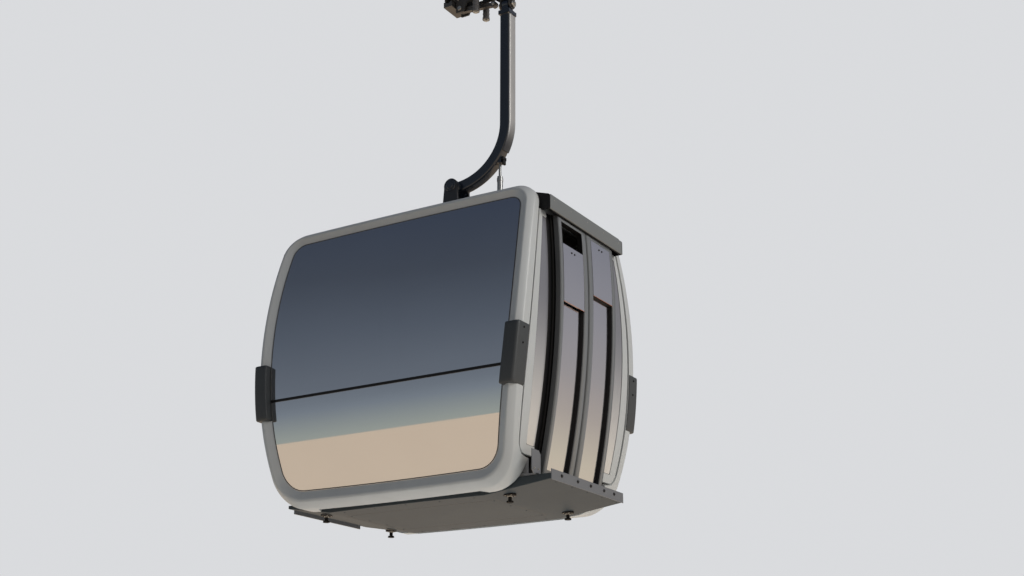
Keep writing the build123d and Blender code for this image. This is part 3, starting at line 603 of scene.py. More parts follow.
def make_end_rings():
    """Wide end rings: bevel to the glass, flat crest, round outer edge, sloped underside, lower skirts."""
    inner = end_loop(0, GLASS_LOW, GLASS_HIGH, GLASS_CORNERS, 30, 26)
    corners = [radius - RING_WIDE for radius in RING_CORNERS]
    outer = end_loop(RING_WIDE, RING_LOW + RING_WIDE, RING_HIGH - RING_WIDE, corners, 30, 26)
    lap, shell = 12 / RING_WIDE, 1 - SHELL_DEEP / RING_WIDE
    face = ((0.0, -1), (0.06, 2.3), (0.42, 27.7), (0.47, 31.0), (0.52, 33.2), (0.58, RING_PROUD),
            (0.63, RING_PROUD - 0.6), (0.67, 30.5), (0.95, -1.5), (0.985, -9), (1.0, -20))
    for name, end in ENDS.items():
        @build(f"end_ring_{name}", "ring_paint", sharp=28)
        def ring(bm):
            rows = []
            for (x0, h0), (x1, h1) in zip(inner, outer):
                spots = []
                for share, proud in face:
                    h = h0 + (h1 - h0) * share
                    spots.append((x0 + (x1 - x0) * share, end_y(proud, h), h))
                for share, law in ((1, "edge"), (shell, "edge"), (shell, "shell"), (lap, "shell"), (lap, "glass")):
                    x, h = x0 + (x1 - x0) * share, h0 + (h1 - h0) * share
                    y = {"edge": ring_back(x1, h1), "shell": end_y(SHELL_BACK, h), "glass": end_y(-0.5, h)}[law]
                    spots.append((x, y, h))
                rows.append([at(x, end * y, above_slope(y, h)) for x, y, h in spots])
            join_rows(bm, rows, True)
        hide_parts(f"ring_{name}")


def make_bumpers():
    """Pads of even width round the ring's corners, with rounded edges."""
    @build("corner_bumpers", "bumper_rubber", sharp=40)
    def pads(bm):
        heights = [(BUMPER_LOW, 9), (BUMPER_LOW + 1.5, 4.5), (BUMPER_LOW + 4.5, 1.5), (BUMPER_LOW + 9, 0)]
        heights = heights + [(h, 0) for h in steps(BUMPER_LOW + 30, BUMPER_HIGH - 30, 12)]
        heights = heights + [(BUMPER_LOW + BUMPER_HIGH - h, inset) for h, inset in reversed(heights[:4])]
        turns = steps(0, math.pi / 2, 8), steps(math.pi / 2, math.pi, 6)
        for side, front in CORNERS.values():
            rows = []
            for h, inset in heights:
                outer, inner = wall_x(BUMPER_SIDE - inset, h), wall_x(-BUMPER_WIDE + inset, h)
                nose, back = end_y(BUMPER_NOSE - inset, h), back_y(h) + 3 + inset
                spots = [(outer - 12, back), (outer, back)]
                rounds = (outer - BUMPER_R, BUMPER_R, turns[0]), (inner + BUMPER_R_IN, BUMPER_R_IN, turns[1])
                for x, r, turn in rounds:
                    spots = spots + [(x + r * math.cos(a), nose - r + r * math.sin(a)) for a in turn]
                spots.append((inner, end_y(-1, h)))
                rows.append([at(side * x, -front * y, h) for x, y in spots])
            join_rows(bm, rows)
    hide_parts("bumpers")


def pad_front(h):
    """Front edge of a corner panel, a groove's width behind the ring and its skirt."""
    turn = TURN_R - GROOVE
    low = SKIRT_HIGH + GROOVE + turn
    y = back_y(h) - GROOVE
    return -(y if h >= low else y - turn + math.sqrt(max(0, turn ** 2 - (low - h) ** 2)))


def make_corner_forms():
    """Pale raised panels and bulged windows beside the doorway, the windows with a painted reflection towards the
    bottom, and the black posts, partly a seal and partly painted shade of the gap beside the doors.
    """
    arc = arc_through(*LENS, 70)
    bottom = [(-PILLAR_END, h) for h in steps(SKIRT_HIGH + GROOVE, LENS[0][1], 16)]
    top = [(-PILLAR_END, h) for h in steps(LENS[2][1], WALL_HIGH, 5)]
    for name, (side, front) in CORNERS.items():
        @build(f"corner_skin_{name}", "ring_paint", sharp=50)
        def _(bm):
            for edge in (bottom, arc, top):
                skin_strip(bm, side, front, [(h, pad_front(h), y) for y, h in edge], -3, -SHELL_DEEP + 1)

        # Black posts beside the doorway: partly a dark seal, partly painted shade of the recessed gap between panel and
        # door leaf
        @build(f"door_post_{name}", "divider_black")
        def _(bm):
            rows = [(h, -PILLAR_END - 4, -440) for h in steps(124, WALL_HIGH, 40)]
            skin_strip(bm, side, front, rows, -12, -SHELL_DEEP)

    # Corner panes in the finish that carries the painted reflection of the warm ground
    @build("corner_panes", "tinted_glass", "corner_glass_painted_reflection")
    def panes(bm):
        for side, front in CORNERS.values():
            skin_strip(bm, side, front, [(h, y + 0.5, LENS_EDGE - 0.5) for y, h in arc], -6, -12)
    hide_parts("corner_windows")


def base_end(x, side_end):
    """Reach of the base from its middle, at a distance to one side, from its reach at the side itself."""
    if abs(x) <= BOW_X:
        return BASE_MIDDLE - (BASE_MIDDLE - BOW_END) * (x / BOW_X) ** 2
    out = BASE_X if x > 0 else BASE_LEFT_X
    return BOW_END + (side_end - BOW_END) * (abs(x) - BOW_X) / (out - BOW_X)


def make_base_forms():
    """Belly and sills: flat in the middle, rising to both sides, narrower on the side without doors."""
    @build("belly_tray", "base_paint")
    def tray(bm):
        xs = steps(-BASE_LEFT_X, -RISE_X, 8) + steps(-560, 560, 14) + steps(RISE_X, BASE_X, 9)
        rows = []
        for x in xs:
            slope = RISE / (BASE_X - RISE_X) if x > 0 else RISE_LEFT / (BASE_LEFT_X - RISE_X)
            low = max(0, abs(x) - RISE_X) * slope
            rear, front = base_end(x, BASE_END), base_end(x, BASE_FRONT if x > 0 else BASE_END)
            rim = [(rear - 3, low), (rear, low + 3), (rear, BASE_TOP)]
            rim = rim + [(-front, BASE_TOP), (-front, low + 3), (3 - front, low)]
            rows.append([at(x, y, h) for y, h in rim])
        join_rows(bm, rows)
    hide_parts("base_plate")

    loop = rounded([(-648, -358), (648, -358), (648, 358), (-648, 358)], 10, 4)
    spots = [(at(x, y, 0), DOWN) for x, y in loop]
    strips("belly_seams", "base_paint", flat(2, 2, -1, 0.4), [spots], "divider_black", closed=True)

    @build("sill_trims", "sill_metal", sharp=20)
    def sills(bm):
        outline = [(BASE_X, 57), (BASE_X + 5, 57), (BASE_X + 5, 125), (BASE_X + 3.5, 127), (BASE_X, 127)]
        plate(bm, outline, -BASE_FRONT, BASE_END)
        outline = [(BASE_X - 26, 123), (BASE_X + 0.5, 123), (BASE_X + 0.5, 126.8), (BASE_X - 26, 126.8)]
        plate(bm, outline, -BASE_END, BASE_END - 1)
        low, high = -BASE_LEFT_X - 12, -BASE_LEFT_X
        outline = [(low, 51), (low + 2, 49), (high, 49), (high, 117), (low + 2, 117), (low, 115)]
        plate(bm, outline, -BAR_HALF, BAR_HALF)
    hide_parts("sill_strips")

    @build("leaf_guides", "base_paint", "sill_metal", sharp=20)
    def guides(bm):
        near, far, top = GUIDE_NEAR, GUIDE_FAR, GUIDE_HIGH
        stand_x = wall_x(LEAF_IN, LEAF_LOW) - 8
        plate_x = wall_x(LEAF_OUT, top) + 6
        for end in (-1, 1):
            for inner, high, ease in ((BASE_END - 40, BASE_TOP + 8, 1.5), (near, SKIRT_HIGH + 10, 2)):
                y = sorted((end * (SKIRT_END - 4), end * inner))
                slab(bm, at(930, y[0], BASE_TOP), at(stand_x, y[1], high), ease)
        slab(bm, at(stand_x - 8, -far + 50, BASE_TOP), at(plate_x + 6, -near, BASE_TOP + 8), 1)
        outline = [(-far, BASE_TOP + 24), (-far, top), (-near - 24, top), (-near, top - 24), (-near, BASE_TOP),
                   (-far + 24, BASE_TOP)]
        join_rows(bm, [[at(x, y, h) for y, h in outline] for x in (plate_x, plate_x + 6)])
    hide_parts("guide_brackets")


def make_headers():
    """Folded covers over the doors and the fixed bay, sloping up to the roof, with dark ends."""
    out, low, high, top = HEADER_OUT, HEADER_LOW, HEADER_HIGH, HEADER_TOP
    outer = [(HEADER_IN, top), (out - 14, high), (out - 3, high - 7), (out, high - 20), (out, low + 5), (out - 4, low)]
    inner = [(out - 8, low), (out - 8, high - 26), (out - 18, high - 8), (HEADER_IN, top - 8)]
    for name, side in SIDES.items():
        @build(f"door_header_{name}", "header_paint", sharp=24)
        def cover(bm):
            plate(bm, [(side * x, h) for x, h in outer + inner], -HEADER_END + 8, HEADER_END - 8)
        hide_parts(f"header_{name}")

    @build("header_caps", "header_paint", "panel_black", sharp=24)
    def caps(bm):
        outline = outer + [(1090, low), (HEADER_IN, 2060)]
        for side, y in product((-1, 1), (-HEADER_END + 2, HEADER_END - 8)):
            plate(bm, [(side * x, h) for x, h in outline], y, y + 6)
    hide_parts("header_ends")


def make_roof_frame():
    """Two beams over two cross members, with a slim cheek on each side of the hanger's eye."""
    @build("roof_frame", "frame_paint", sharp=25)
    def roof_frame(bm):
        low = ROOF_TOP + 24
        arc = [(ARM_X + 60 * math.cos(a), ARM_H + 60 * math.sin(a)) for a in steps(-0.25, math.pi + 0.25, 20)]
        cheek = arc + [(ARM_X - 84, BEAM_HIGH - 4), (ARM_X + 84, BEAM_HIGH - 4)]
        for side in (-1, 1):
            y = sorted((side * 60, side * 140))
            slab(bm, at(-470, y[0], low), at(560, y[1], BEAM_HIGH), 3)
            plate(bm, cheek, *sorted((side * 76, side * 96)))
        for x in MOUNT_X:
            slab(bm, at(x - 40, -260, low), at(x + 40, 260, BEAM_HIGH - 6), 3)
    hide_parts("suspension_frame")


# Trim, seals and fasteners

def make_corner_details():
    for name, end in ENDS.items():
        loop = end_loop(-3, GLASS_LOW, GLASS_HIGH, GLASS_CORNERS)
        spots = [on_end(end, 0, x, h) for x, h in loop]
        strips(f"gasket_{name}", "seal_rubber", bead(8, 3), [spots], "gasket_grey", closed=True)

    for name, (side, front) in CORNERS.items():
        loop = lens_loop(2.0)
        if side * front < 0:
            loop = list(reversed(loop))
        spots = [on_wall(side, -6.5, front * y, h) for y, h in loop]
        strips(f"lens_gasket_{name}", "seal_rubber", bead(4, 3), [spots], "gasket_grey", closed=True)
        spots = up_wall(side, -3, front * (LENS_EDGE + 2.5), LENS[0][1] - 8, LENS[2][1] + 8, 30)
        strips(f"lens_edge_{name}", "seal_rubber", bead(10, 2.5, 6), [spots])
        spots = [(*on_wall(side, BUMPER_SIDE, front * -(END_DEPTH - 24), h), 8) for h in (945, 1052)]
        fasteners(f"pad_trim_{name}", "bumper_rubber", screw, spots, "panel_black")


def make_door_details():
    middle = (PANE_MEET + PANE_OUTER) / 2
    for name, end in ENDS.items():
        body = f"door_{name}"
        drop = VENT_DROP if end < 0 else 0
        seam, top = SASH_SEAM - drop, VENT_HIGH - drop

        def across(offset, h, inset=0):
            return [on_wall(1, offset, end * y, h) for y in (PANE_MEET + inset, PANE_OUTER - inset)]

        def beside(offset, inset, low, high, count):
            """Runs up both edges of a pane."""
            return [up_wall(1, offset, end * y, low, high, count) for y in (PANE_MEET + inset, PANE_OUTER - inset)]

        strips(f"sash_seam_{name}", "leaf_paint", bead(4, 2.4, 6), [across(LEAF_OUT - 1, seam, 3)], "seam_orange", body)

        @build(f"sash_rubber_{name}", "seal_rubber", body=body)
        def _(bm):
            for spots in beside(LEAF_OUT - 2, 2.5, seam, VENT_HIGH - 3, 14):
                band(bm, spots, bead(5, 2.6, 5))
            for spots in beside(LEAF_OUT - 26, 1.5, PANE_LOW, seam, 22):
                band(bm, spots, bead(7, 6, 5))
            band(bm, across(LEAF_OUT - 26, PANE_LOW + 4), bead(8, 6, 5))

        # Thin black plates on the jambs and top of the vent opening: painted shade inside the opening
        if drop:
            sides = zip(beside(LEAF_OUT - 21, 0, top, VENT_HIGH, 6), (1, -1))
            runs = [[(point, Vector((0, end * turn, 0))) for point, _ in spots] for spots, turn in sides]
            runs.append([(point, DOWN) for point, _ in across(LEAF_OUT - 21, VENT_HIGH)])
            strips(f"vent_shade_lining_{name}", "seal_rubber", flat(18, 18, 0, 1.6), runs, body=body)

        profile = [(0, 0), (7, 0), (7, 3), (5.5, 4.5), (0, 4.5)]
        places = [on_wall(1, LEAF_OUT - 0.5, end * y, top - 42) for y in (middle - 22, middle + 22)]
        turned(f"sash_grips_{name}", "panel_black", profile, 18, places, body=body)
        runs = beside(LEAF_OUT - 33.4, 8, PANE_LOW + 8, seam - 4, 22)
        strips(f"leaf_frit_{name}", "door_glass", flat(7, 7, 0, -0.6), runs, "divider_black", body)
        rows = product((132, 1972), (PANE_MEET + 20, middle, PANE_OUTER - 20))
        spots = [(*on_wall(1, LEAF_OUT, end * y, h), 3.2) for h, y in rows]
        fasteners(f"leaf_screws_{name}", "leaf_paint", screw, spots, body=body)


def make_left_bay():
    runs = [[on_wall(-1, LEAF_OUT - 27, y, SASH_SEAM) for y in ends] for ends in ((26, 384), (-384, -26))]
    strips("left_bay_seams", "leaf_paint", bead(4, 2.4, 6), runs, "seam_orange")

    runs = []
    for near, far in ((24, 386), (-386, -24)):
        loop = [(near, h) for h in steps(PANE_LOW, VENT_HIGH, 24)]
        loop += [(far, h) for h in steps(VENT_HIGH, PANE_LOW, 24)]
        runs.append([on_wall(-1, LEAF_OUT - 27, y, h) for y, h in rounded(loop, 10)])
    strips("left_bay_gaskets", "seal_rubber", bead(9, 6), runs, closed=True)

    spots = [(*on_wall(-1, LEAF_OUT, y, h), 4) for y, h in product((-408, 408), range(150, 1901, 350))]
    fasteners("left_bay_bolts", "leaf_paint", screw, spots)


def make_header_details():
    def run(x, h, normal):
        return [(at(x, y, h), normal) for y in steps(-530, 530, 12)]

    for name, side in SIDES.items():
        spots = [(at(side * HEADER_OUT, y, HEADER_HIGH - 36), RIGHT * side, 4) for y in range(-500, 501, 250)]
        spots += [(at(side * 985, y, HEADER_TOP - 8), UP, 5) for y in (-500, -170, 170, 500)]
        fasteners(f"header_screws_{name}", "header_paint", screw, spots)
        brush = run(side * (HEADER_OUT - 9), HEADER_LOW + 1, DOWN)
        strips(f"header_brush_{name}", "seal_rubber", flat(4, 2, -3, 9), [brush])
        gutter = [(-5, -1), (5, -1), (5, 6), (3, 8), (1, 6), (-5, 2)]
        if side < 0:
            gutter = [(-u, v) for u, v in reversed(gutter)]
        strips(f"header_gutter_{name}", "header_paint", gutter, [run(side * (HEADER_OUT - 16), HEADER_HIGH - 1, UP)])


def make_base_details():
    feet = list(product((-FOOT_X, FOOT_X), (-FOOT_Y, FOOT_Y)))

    spots = [(at(BASE_X + 5, y, 97), RIGHT, 8.5, 0.3) for y in (-422, -197, -10, 187, 341)]
    fasteners("sill_bolts", "sill_metal", bolt, spots, "bolt_black")

    lip = [(at(BASE_X + 3.5, y, 58), DOWN) for y in steps(-BASE_FRONT + 2, BASE_END - 2, 10)]
    strips("sill_lip", "sill_metal", [(-2, -2), (2, -2), (2, 3), (0, 4.5), (-2, 3)], [lip])

    spots = [(x, y * (1 - abs(x) / 12000), 0) for y, x in product((-520, 520), range(-560, 561, 280))]
    spots += [(x, y, 0) for x, y in product((-620, 620), range(-330, 331, 220))]
    spots += [(BASE_X - 30, y, 57) for y in range(-440, 441, 220)]
    fasteners("belly_screws", "base_paint", screw, [(at(*spot), DOWN, 5) for spot in spots], None)

    @build("foot_nuts", "seal_rubber", "bolt_zinc")
    def _(bm):
        under = (FOOT_X - RISE_X) * RISE / (BASE_X - RISE_X) - 8
        for x, y in feet:
            lathe(bm, [(0, 0), (20, 0), (20, 7), (18, 9), (0, 9)], facing(at(x, y, under), DOWN), 6)
            for _, u, v in round_of(4, 34, math.pi / 4):
                screw(bm, at(x + u, y + v, under), DOWN, 4.5)

    profile = [(0, -2), (23, -2), (25.5, 0), (25.5, 3), (22, 4), (20, 2), (0, 2)]
    turned("foot_pads", "seal_rubber", profile, 28, [(at(x, y, -38), DOWN) for x, y in feet])

    plate_x = wall_x(LEAF_OUT, GUIDE_HIGH) + 12
    fasteners("bracket_bolts", "sill_metal", bolt, [(at(plate_x, y, 135), RIGHT, 6) for y in (-600, -545)])


def make_hanger_details():
    loop = rounded([(46, 45), (-46, 45), (-46, -45), (46, -45)], 16, 7)
    weld = [(at(HANGER_X + x, y, HANGER_HEAD), Vector((x, y, 0)).normalized()) for x, y in loop]
    strips("hanger_welds", "hanger_paint", bead(9, 3.2), [weld], "weld", closed=True)

    spots = [(at(HANGER_X + x, y, HANGER_HEAD - 0.5), DOWN, 7, 0.2) for x, y in product((-36, 36), (-40, 40))]
    fasteners("hanger_head_bolts", "hanger_paint", bolt, spots)

    # Pale strip up the tube's +X face and round the bend: painted highlight of the lit side, darkening down the bend as
    # painted shade
    bend_h, r = ARM_H + BEND_R, BEND_R + TUBE_HALF
    cover = [(at(HANGER_X + TUBE_HALF, 0, h), RIGHT) for h in steps(HANGER_HEAD - 14, bend_h, 4)]
    for a in steps(0, math.radians(-28), 18)[1:]:
        point = at(ARM_X + r * math.cos(a), 0, bend_h + r * math.sin(a))
        cover.append((point, Vector((math.cos(a), 0, math.sin(a)))))
    section = [(-44, -2), (44, -2), (44, 2), (40, 6), (34, 8), (-34, 8), (-40, 6), (-44, 2)]
    strips("tube_painted_highlight", "hanger_paint", section, [cover], "tube_painted_highlight")

    profile = [(21, 0), (50, 0), (50, 4), (46, 7), (30, 8), (30, 12), (27, 14), (0, 14)]
    places = [(at(ARM_X, side * 95, ARM_H), Vector((0, side, 0))) for side in (-1, 1)]
    turned("pin_covers", "hanger_paint", profile, 40, places, sharp=30)

    spots = [(at(ARM_X + u, side * 102, ARM_H + v), Vector((0, side, 0)), 4, a, 0)
             for side, (a, u, v) in product((-1, 1), round_of(6, 39))]
    fasteners("pin_cover_bolts", "hanger_paint", bolt, spots, "bolt_black")

    @build("strut_clip", "hanger_paint", "panel_black")
    def _(bm):
        top = ARM_H + 190
        slab(bm, at(STRUT_X - 30, -26, top - 40), at(STRUT_X + 44, 26, top - 12), 3)
        slab(bm, at(STRUT_X + 26, -18, top - 76), at(STRUT_X + 44, 18, top - 30), 3)
        for side in (-1, 1):
            bolt(bm, at(STRUT_X, side * 30, top - 25), Vector((0, side, 0)), 6)

    @build("strut_sleeves", "damper_metal")
    def _(bm):
        for low, tall, r in ((2260, 30, 26), (2570, 26, 25)):
            profile = [(r - 5, 0), (r - 1, 0), (r, 1), (r, tall - 1), (r - 1, tall), (r - 12, tall)]
            lathe(bm, profile, facing(at(STRUT_X, 0, low), UP), 28)

    spots = [(at(x, y, BEAM_HIGH - 6), UP, 11, 0.4) for x, y in product(MOUNT_X, MOUNT_Y)]
    for x, y in (*product(MOUNT_X, (-90, 90)), *product((-68, 168), (-120, 120))):
        spots.append((at(x, y, BEAM_HIGH), UP, 8, 0.1))
    fasteners("roof_frame_bolts", "frame_paint", bolt, spots)

    @build("lug_gussets", "frame_paint", sharp=20)
    def _(bm):
        for x, side in product((ARM_X - 40, ARM_X + 32), (-1, 1)):
            near = [at(x, side * y, BEAM_HIGH + h) for y, h in ((95, 0), (136, 0), (95, 150))]
            join_rows(bm, [near, [point + Vector((0.008, 0, 0)) for point in near]])

    @build("roof_feet", "seal_rubber", "roof_paint")
    def _(bm):
        for x, y in product(MOUNT_X, MOUNT_Y):
            place = facing(at(x, y, ROOF_TOP - 3 - 8 * (x / 1100) ** 2), UP)
            lathe(bm, [(38, 0), (62, 0), (62, 5), (58, 8), (38, 8)], place, 32)
            for _, u, v in round_of(4, 50, math.pi / 4):
                bolt(bm, at(x + u, y + v, ROOF_TOP + 3), UP, 4, 0, 0)


def make_roof_details():
    def roof_h(x):
        return 2170 + ARCH * (1 - (x / 1100) ** 2)

    runs = [[(at(x, y, roof_h(x) - 0.5), UP) for y in steps(-508, 508, 10)] for x in (-760, 760)]
    strips("roof_seams", "roof_paint", [(-6, 0), (6, 0), (4, 7), (2, 9), (-2, 9), (-4, 7)], runs)

    @build("roof_treads", "roof_paint", "tread_mat")
    def _(bm):
        for x, y in product(TREAD_X, TREAD_Y):
            slab(bm, at(x, y, roof_h(x) - 4), at(x + 380, y + 230, roof_h(x) + 6), 2)

    runs = [[(at(x + u, y + 25 + k * 30, roof_h(x) + 5.5), UP) for u in steps(20, 360, 6)]
            for x, y, k in product(TREAD_X, TREAD_Y, range(7))]
    strips("roof_tread_ribs", "roof_paint", bead(9, 3, 5), runs, "tread_mat")

    profile = [(95, 0), (98, 4), (98, 16), (92, 26), (70, 34), (0, 37)]
    turned("roof_vent_cowl", "roof_paint", profile, 48, [(at(790, 0, roof_h(790) - 2), UP)], sharp=28)

    spots = [(at(x, y, roof_h(x)), UP, 5) for y, x in product((-500, 500), range(-900, 901, 180))]
    fasteners("roof_rivets", "roof_paint", screw, spots)


def make_grip_details():
    def ribs(name, slot, section, body, y, paths):
        """Ribs on both faces of a plate, along (x, z) points."""
        runs = [[(by_rope(x, side * y, z), Vector((0, side, 0))) for x, z in path]
                for side, path in product((-1, 1), paths)]
        strips(name, slot, section, runs, body=body)

    plate_bolts = ((-14, 30), (30, 48), (62, 20), (340, 28), (420, 30), (420, -50), (560, 30), (560, -50))
    spots = []
    for side in (-1, 1):
        out = Vector((0, side, 0))
        spots += [(by_rope(x, side * GRIP_FACE, z), out, 9, 0.35) for x, z in plate_bolts]
        spots += [(by_rope(590, side * GRIP_FACE, z), out, 7) for z in (-70, 40)]
    for side, (y, z) in product((-1, 1), ((90, 46), (150, 10))):
        spots.append((by_rope(606, side * y, z), -RIGHT, 6))
    fasteners("grip_bolts", "grip_metal", bolt, spots, body="grip")

    paths = [(110, 62), (300, 46), (590, 46)], [(156, -26), (372, -32), (422, -74), (590, -74)]
    ribs("plate_ribs", "grip_metal", flat(5, 4, -1, 6), "grip", GRIP_FACE, paths)

    @build("pin_heads", "rail_steel", "bolt_zinc", "grip")
    def _(bm):
        x, z = JAW_PIVOT
        for side in (-1, 1):
            place = facing(by_rope(x, side * GRIP_FACE, z), Vector((0, side, 0)))
            lathe(bm, [(12, 0), (20, 0), (20, 4), (18, 7), (0, 7)], place, 28)
            out = RIGHT * side
            place = facing(by_rope(SWING_PIN[0] + side * 58, *SWING_PIN[1:]), out)
            lathe(bm, [(0, 0), (30, 0), (30, 5), (27, 8), (16, 9), (16, 14), (0, 14)], place, 32)
            bolt(bm, place @ Vector((0, 0, 0.014)), out, 8, 0.2, 0)

    profile = [(25, -4), (28, -3), (29, 0), (28, 3), (25, 4)]
    places = [(by_rope(SPRING_X, y, z), UP) for y, z in product(SPRINGS_Y, (-150, -118, -86, -54, -22, 8))]
    turned("spring_bands", "spring_paint", profile, 36, places, body="grip", sharp=40)

    spots = [(by_rope(SPRING_X, y, z), out, size, 0.2)
             for y, (z, out, size) in product(SPRINGS_Y, ((-172, DOWN, 15), (42, UP, 11)))]
    fasteners("spring_nuts", "spring_paint", bolt, spots, body="grip")

    runs = []
    for y in (-102, 102):
        turns = [(math.cos(a), math.sin(a)) for a in steps(math.radians(20), math.radians(160), 16)]
        runs.append([(by_rope(27 * c, y, 27 * s), Vector((c, 0, s))) for c, s in turns])
    strips("rope_liners", "jaw_metal", flat(2, 2, -1, 7), runs, body="grip")

    for name, end in ENDS.items():
        body, y = f"{name}_wheel", end * WHEEL_Y
        half = [(54, 18.5), (60, 18.2), (62.4, 15), (62.4, 6), (61, 4), (61, 2)]
        profile = [(r, -z) for r, z in half] + [(62.4, 0)] + list(reversed(half))
        turned(f"tyre_{name}", "wheel_tread", profile, 64, [(by_rope(WHEEL_X, y, WHEEL_Z), RIGHT)], body=body)

        @build(f"hub_{name}", "wheel_tread", "jaw_metal", body)
        def _(bm):
            for side in (-1, 1):
                out = RIGHT * side
                place = facing(by_rope(WHEEL_X + side * 12, y, WHEEL_Z), out)
                lathe(bm, [(37, 0), (49, 0), (49, 2), (45, 4), (37, 4)], place, 48)
                for a, u, v in round_of(5, 0.043):
                    bolt(bm, place @ Vector((u, v, 0.003)), out, 3.5, a, 0)

    spots = [(by_rope(690, y, WHEEL_Z), RIGHT, 10, 0.4) for y in (-WHEEL_Y, WHEEL_Y)]
    fasteners("axle_nuts", "grip_metal", bolt, spots + [(by_rope(WHEEL_X, 0, -110), DOWN, 9, 0.2)], body="grip")

    profile = [(33, -19.5), (34.6, -17), (34.6, -4), (33.6, -2), (33.6, 2), (34.6, 4), (34.6, 17), (33, 19.5)]
    turned("roller_grooves", "wheel_tread", profile, 48, [(by_rope(WHEEL_X, 0, -86), UP)], body="roller")

    heads = (*LEVER_END, 22, 10), (*JAW_PIVOT, 28, 0.1)
    spots = [(by_rope(x, side * y, z), Vector((0, side, 0)), size, 0.3)
             for side, (x, z, y, size) in product((-1, 1), heads)]
    fasteners("lever_roller", "jaw_metal", bolt, spots, body="jaw")
    ribs("jaw_ribs", "jaw_metal", flat(4, 3, -1, 5), "jaw", 18, ([(112, -66), (372, -104)],))


# Inside the cabin

def pad_mesh(wide, deep, thick, crown):
    """Plain crowned pad about the origin, in metres."""
    bm = bmesh.new()
    slab(bm, Vector((-wide / 2, -deep / 2, -thick / 2)), Vector((wide / 2, deep / 2, thick / 2)), 10, None, 3)
    bmesh.ops.subdivide_edges(bm, edges=[e for e in bm.edges if e.calc_length() > 0.05], cuts=9, use_grid_fill=True)
    for vert in bm.verts:
        u, v = 2 * vert.co.x / wide, 2 * vert.co.y / deep
        vert.co.z += math.copysign(crown, vert.co.z) * max(0, 1 - u ** 4) * max(0, 1 - v ** 4)
    mesh = bpy.data.meshes.new("pad")
    bm.to_mesh(mesh)
    bm.free()
    return mesh


def evaluated(body):
    """Mesh of an object after its modifiers."""
    depsgraph = bpy.context.evaluated_depsgraph_get()
    return bpy.data.meshes.new_from_object(body.evaluated_get(depsgraph))


def swell(mesh, voxel=0.007, pressure=4.0, cap=0.005, frames=20):
    """Cloth pressure on a remeshed copy, with each point's travel capped."""
    body = bpy.data.objects.new("swelling", mesh)
    scene.collection.objects.link(body)
    remesh = body.modifiers.new("remesh", "REMESH")
    remesh.mode = "VOXEL"
    remesh.voxel_size = voxel
    start = evaluated(body)
    body.modifiers.clear()
    body.data = start
    cloth = body.modifiers.new("cloth", "CLOTH")
    cloth.settings.use_pressure = True
    cloth.settings.uniform_pressure_force = pressure
    cloth.settings.effector_weights.gravity = 0
    cloth.settings.quality = 4
    cloth.point_cache.frame_start, cloth.point_cache.frame_end = 1, frames
    for frame_number in range(1, frames + 1):
        scene.frame_set(frame_number)
    moved = evaluated(body)
    for before, after in zip(start.vertices, moved.vertices):
        step = after.co - before.co
        if step.length > cap:
            after.co = before.co + step * (cap / step.length)
    bpy.data.objects.remove(body)
    scene.frame_set(1)
    return moved


def make_benches():
    """Five padded seats and backs on each bench, with a seam round each pad."""
    seat = pad_mesh(SEAT_WIDE - 0.014, 0.318, 0.036, 0.003)
    back = pad_mesh(SEAT_WIDE - 0.014, 0.396, 0.026, 0.003)
    seat, back = swell(seat), swell(back)
    upright = Matrix.Rotation(math.pi / 2 + BACK_LEAN, 4, "X")
    # Mesh, (y, h) of the pad and of its piping, half depth of the piping, tilt
    kinds = {"seat": (seat, (SEAT_Y, 496), (SEAT_Y, 513), 0.152, Matrix()),
             "back": (back, (-613, BACK_H), (-601, BACK_H), 0.190, upright)}
    xs = [(k - (SEATS - 1) / 2) * SEAT_WIDE * 1000 for k in range(SEATS)]
    for name, end in ENDS.items():
        turn = Matrix.Rotation(0 if end < 0 else math.pi, 4, "Z")
        for kind, (mesh, pad_spot, piping_spot, half_d, tilt) in kinds.items():
            @build(f"{kind}_pads_{name}", "seat_cushion", sharp=70)
            def pad(bm):
                for x in xs:
                    part = bmesh.new()
                    part.from_mesh(mesh)
                    part.transform(turn @ (Matrix.Translation(at(x, *pad_spot)) @ tilt))
                    merge(bm, part)
            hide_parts(f"bench_cushion_{name}")

            @build(f"{kind}_piping_{name}", "seat_cushion", "seal_rubber")
            def _(bm):
                half_w = SEAT_WIDE / 2 - 0.012
                loop = rounded([(-half_w, -half_d), (half_w, -half_d), (half_w, half_d), (-half_w, half_d)], 0.03, 6)
                for x in xs:
                    place = turn @ Matrix.Translation(at(x, *piping_spot)) @ tilt
                    out = place.to_3x3() @ UP
                    band(bm, [(place @ Vector((u, v, 0)), out) for u, v in loop], bead(3.2, 2.4, 5), True)

        @build(f"bench_back_shell_{name}", "seat_shell")
        def _(bm):
            place = Matrix.Translation(at(0, end * 634, BACK_H)) @ Matrix.Rotation(-end * BACK_LEAN, 4, "X")
            slab(bm, Vector((-0.985, -0.006, -0.205)), Vector((0.985, 0.006, 0.205)), 4, place)


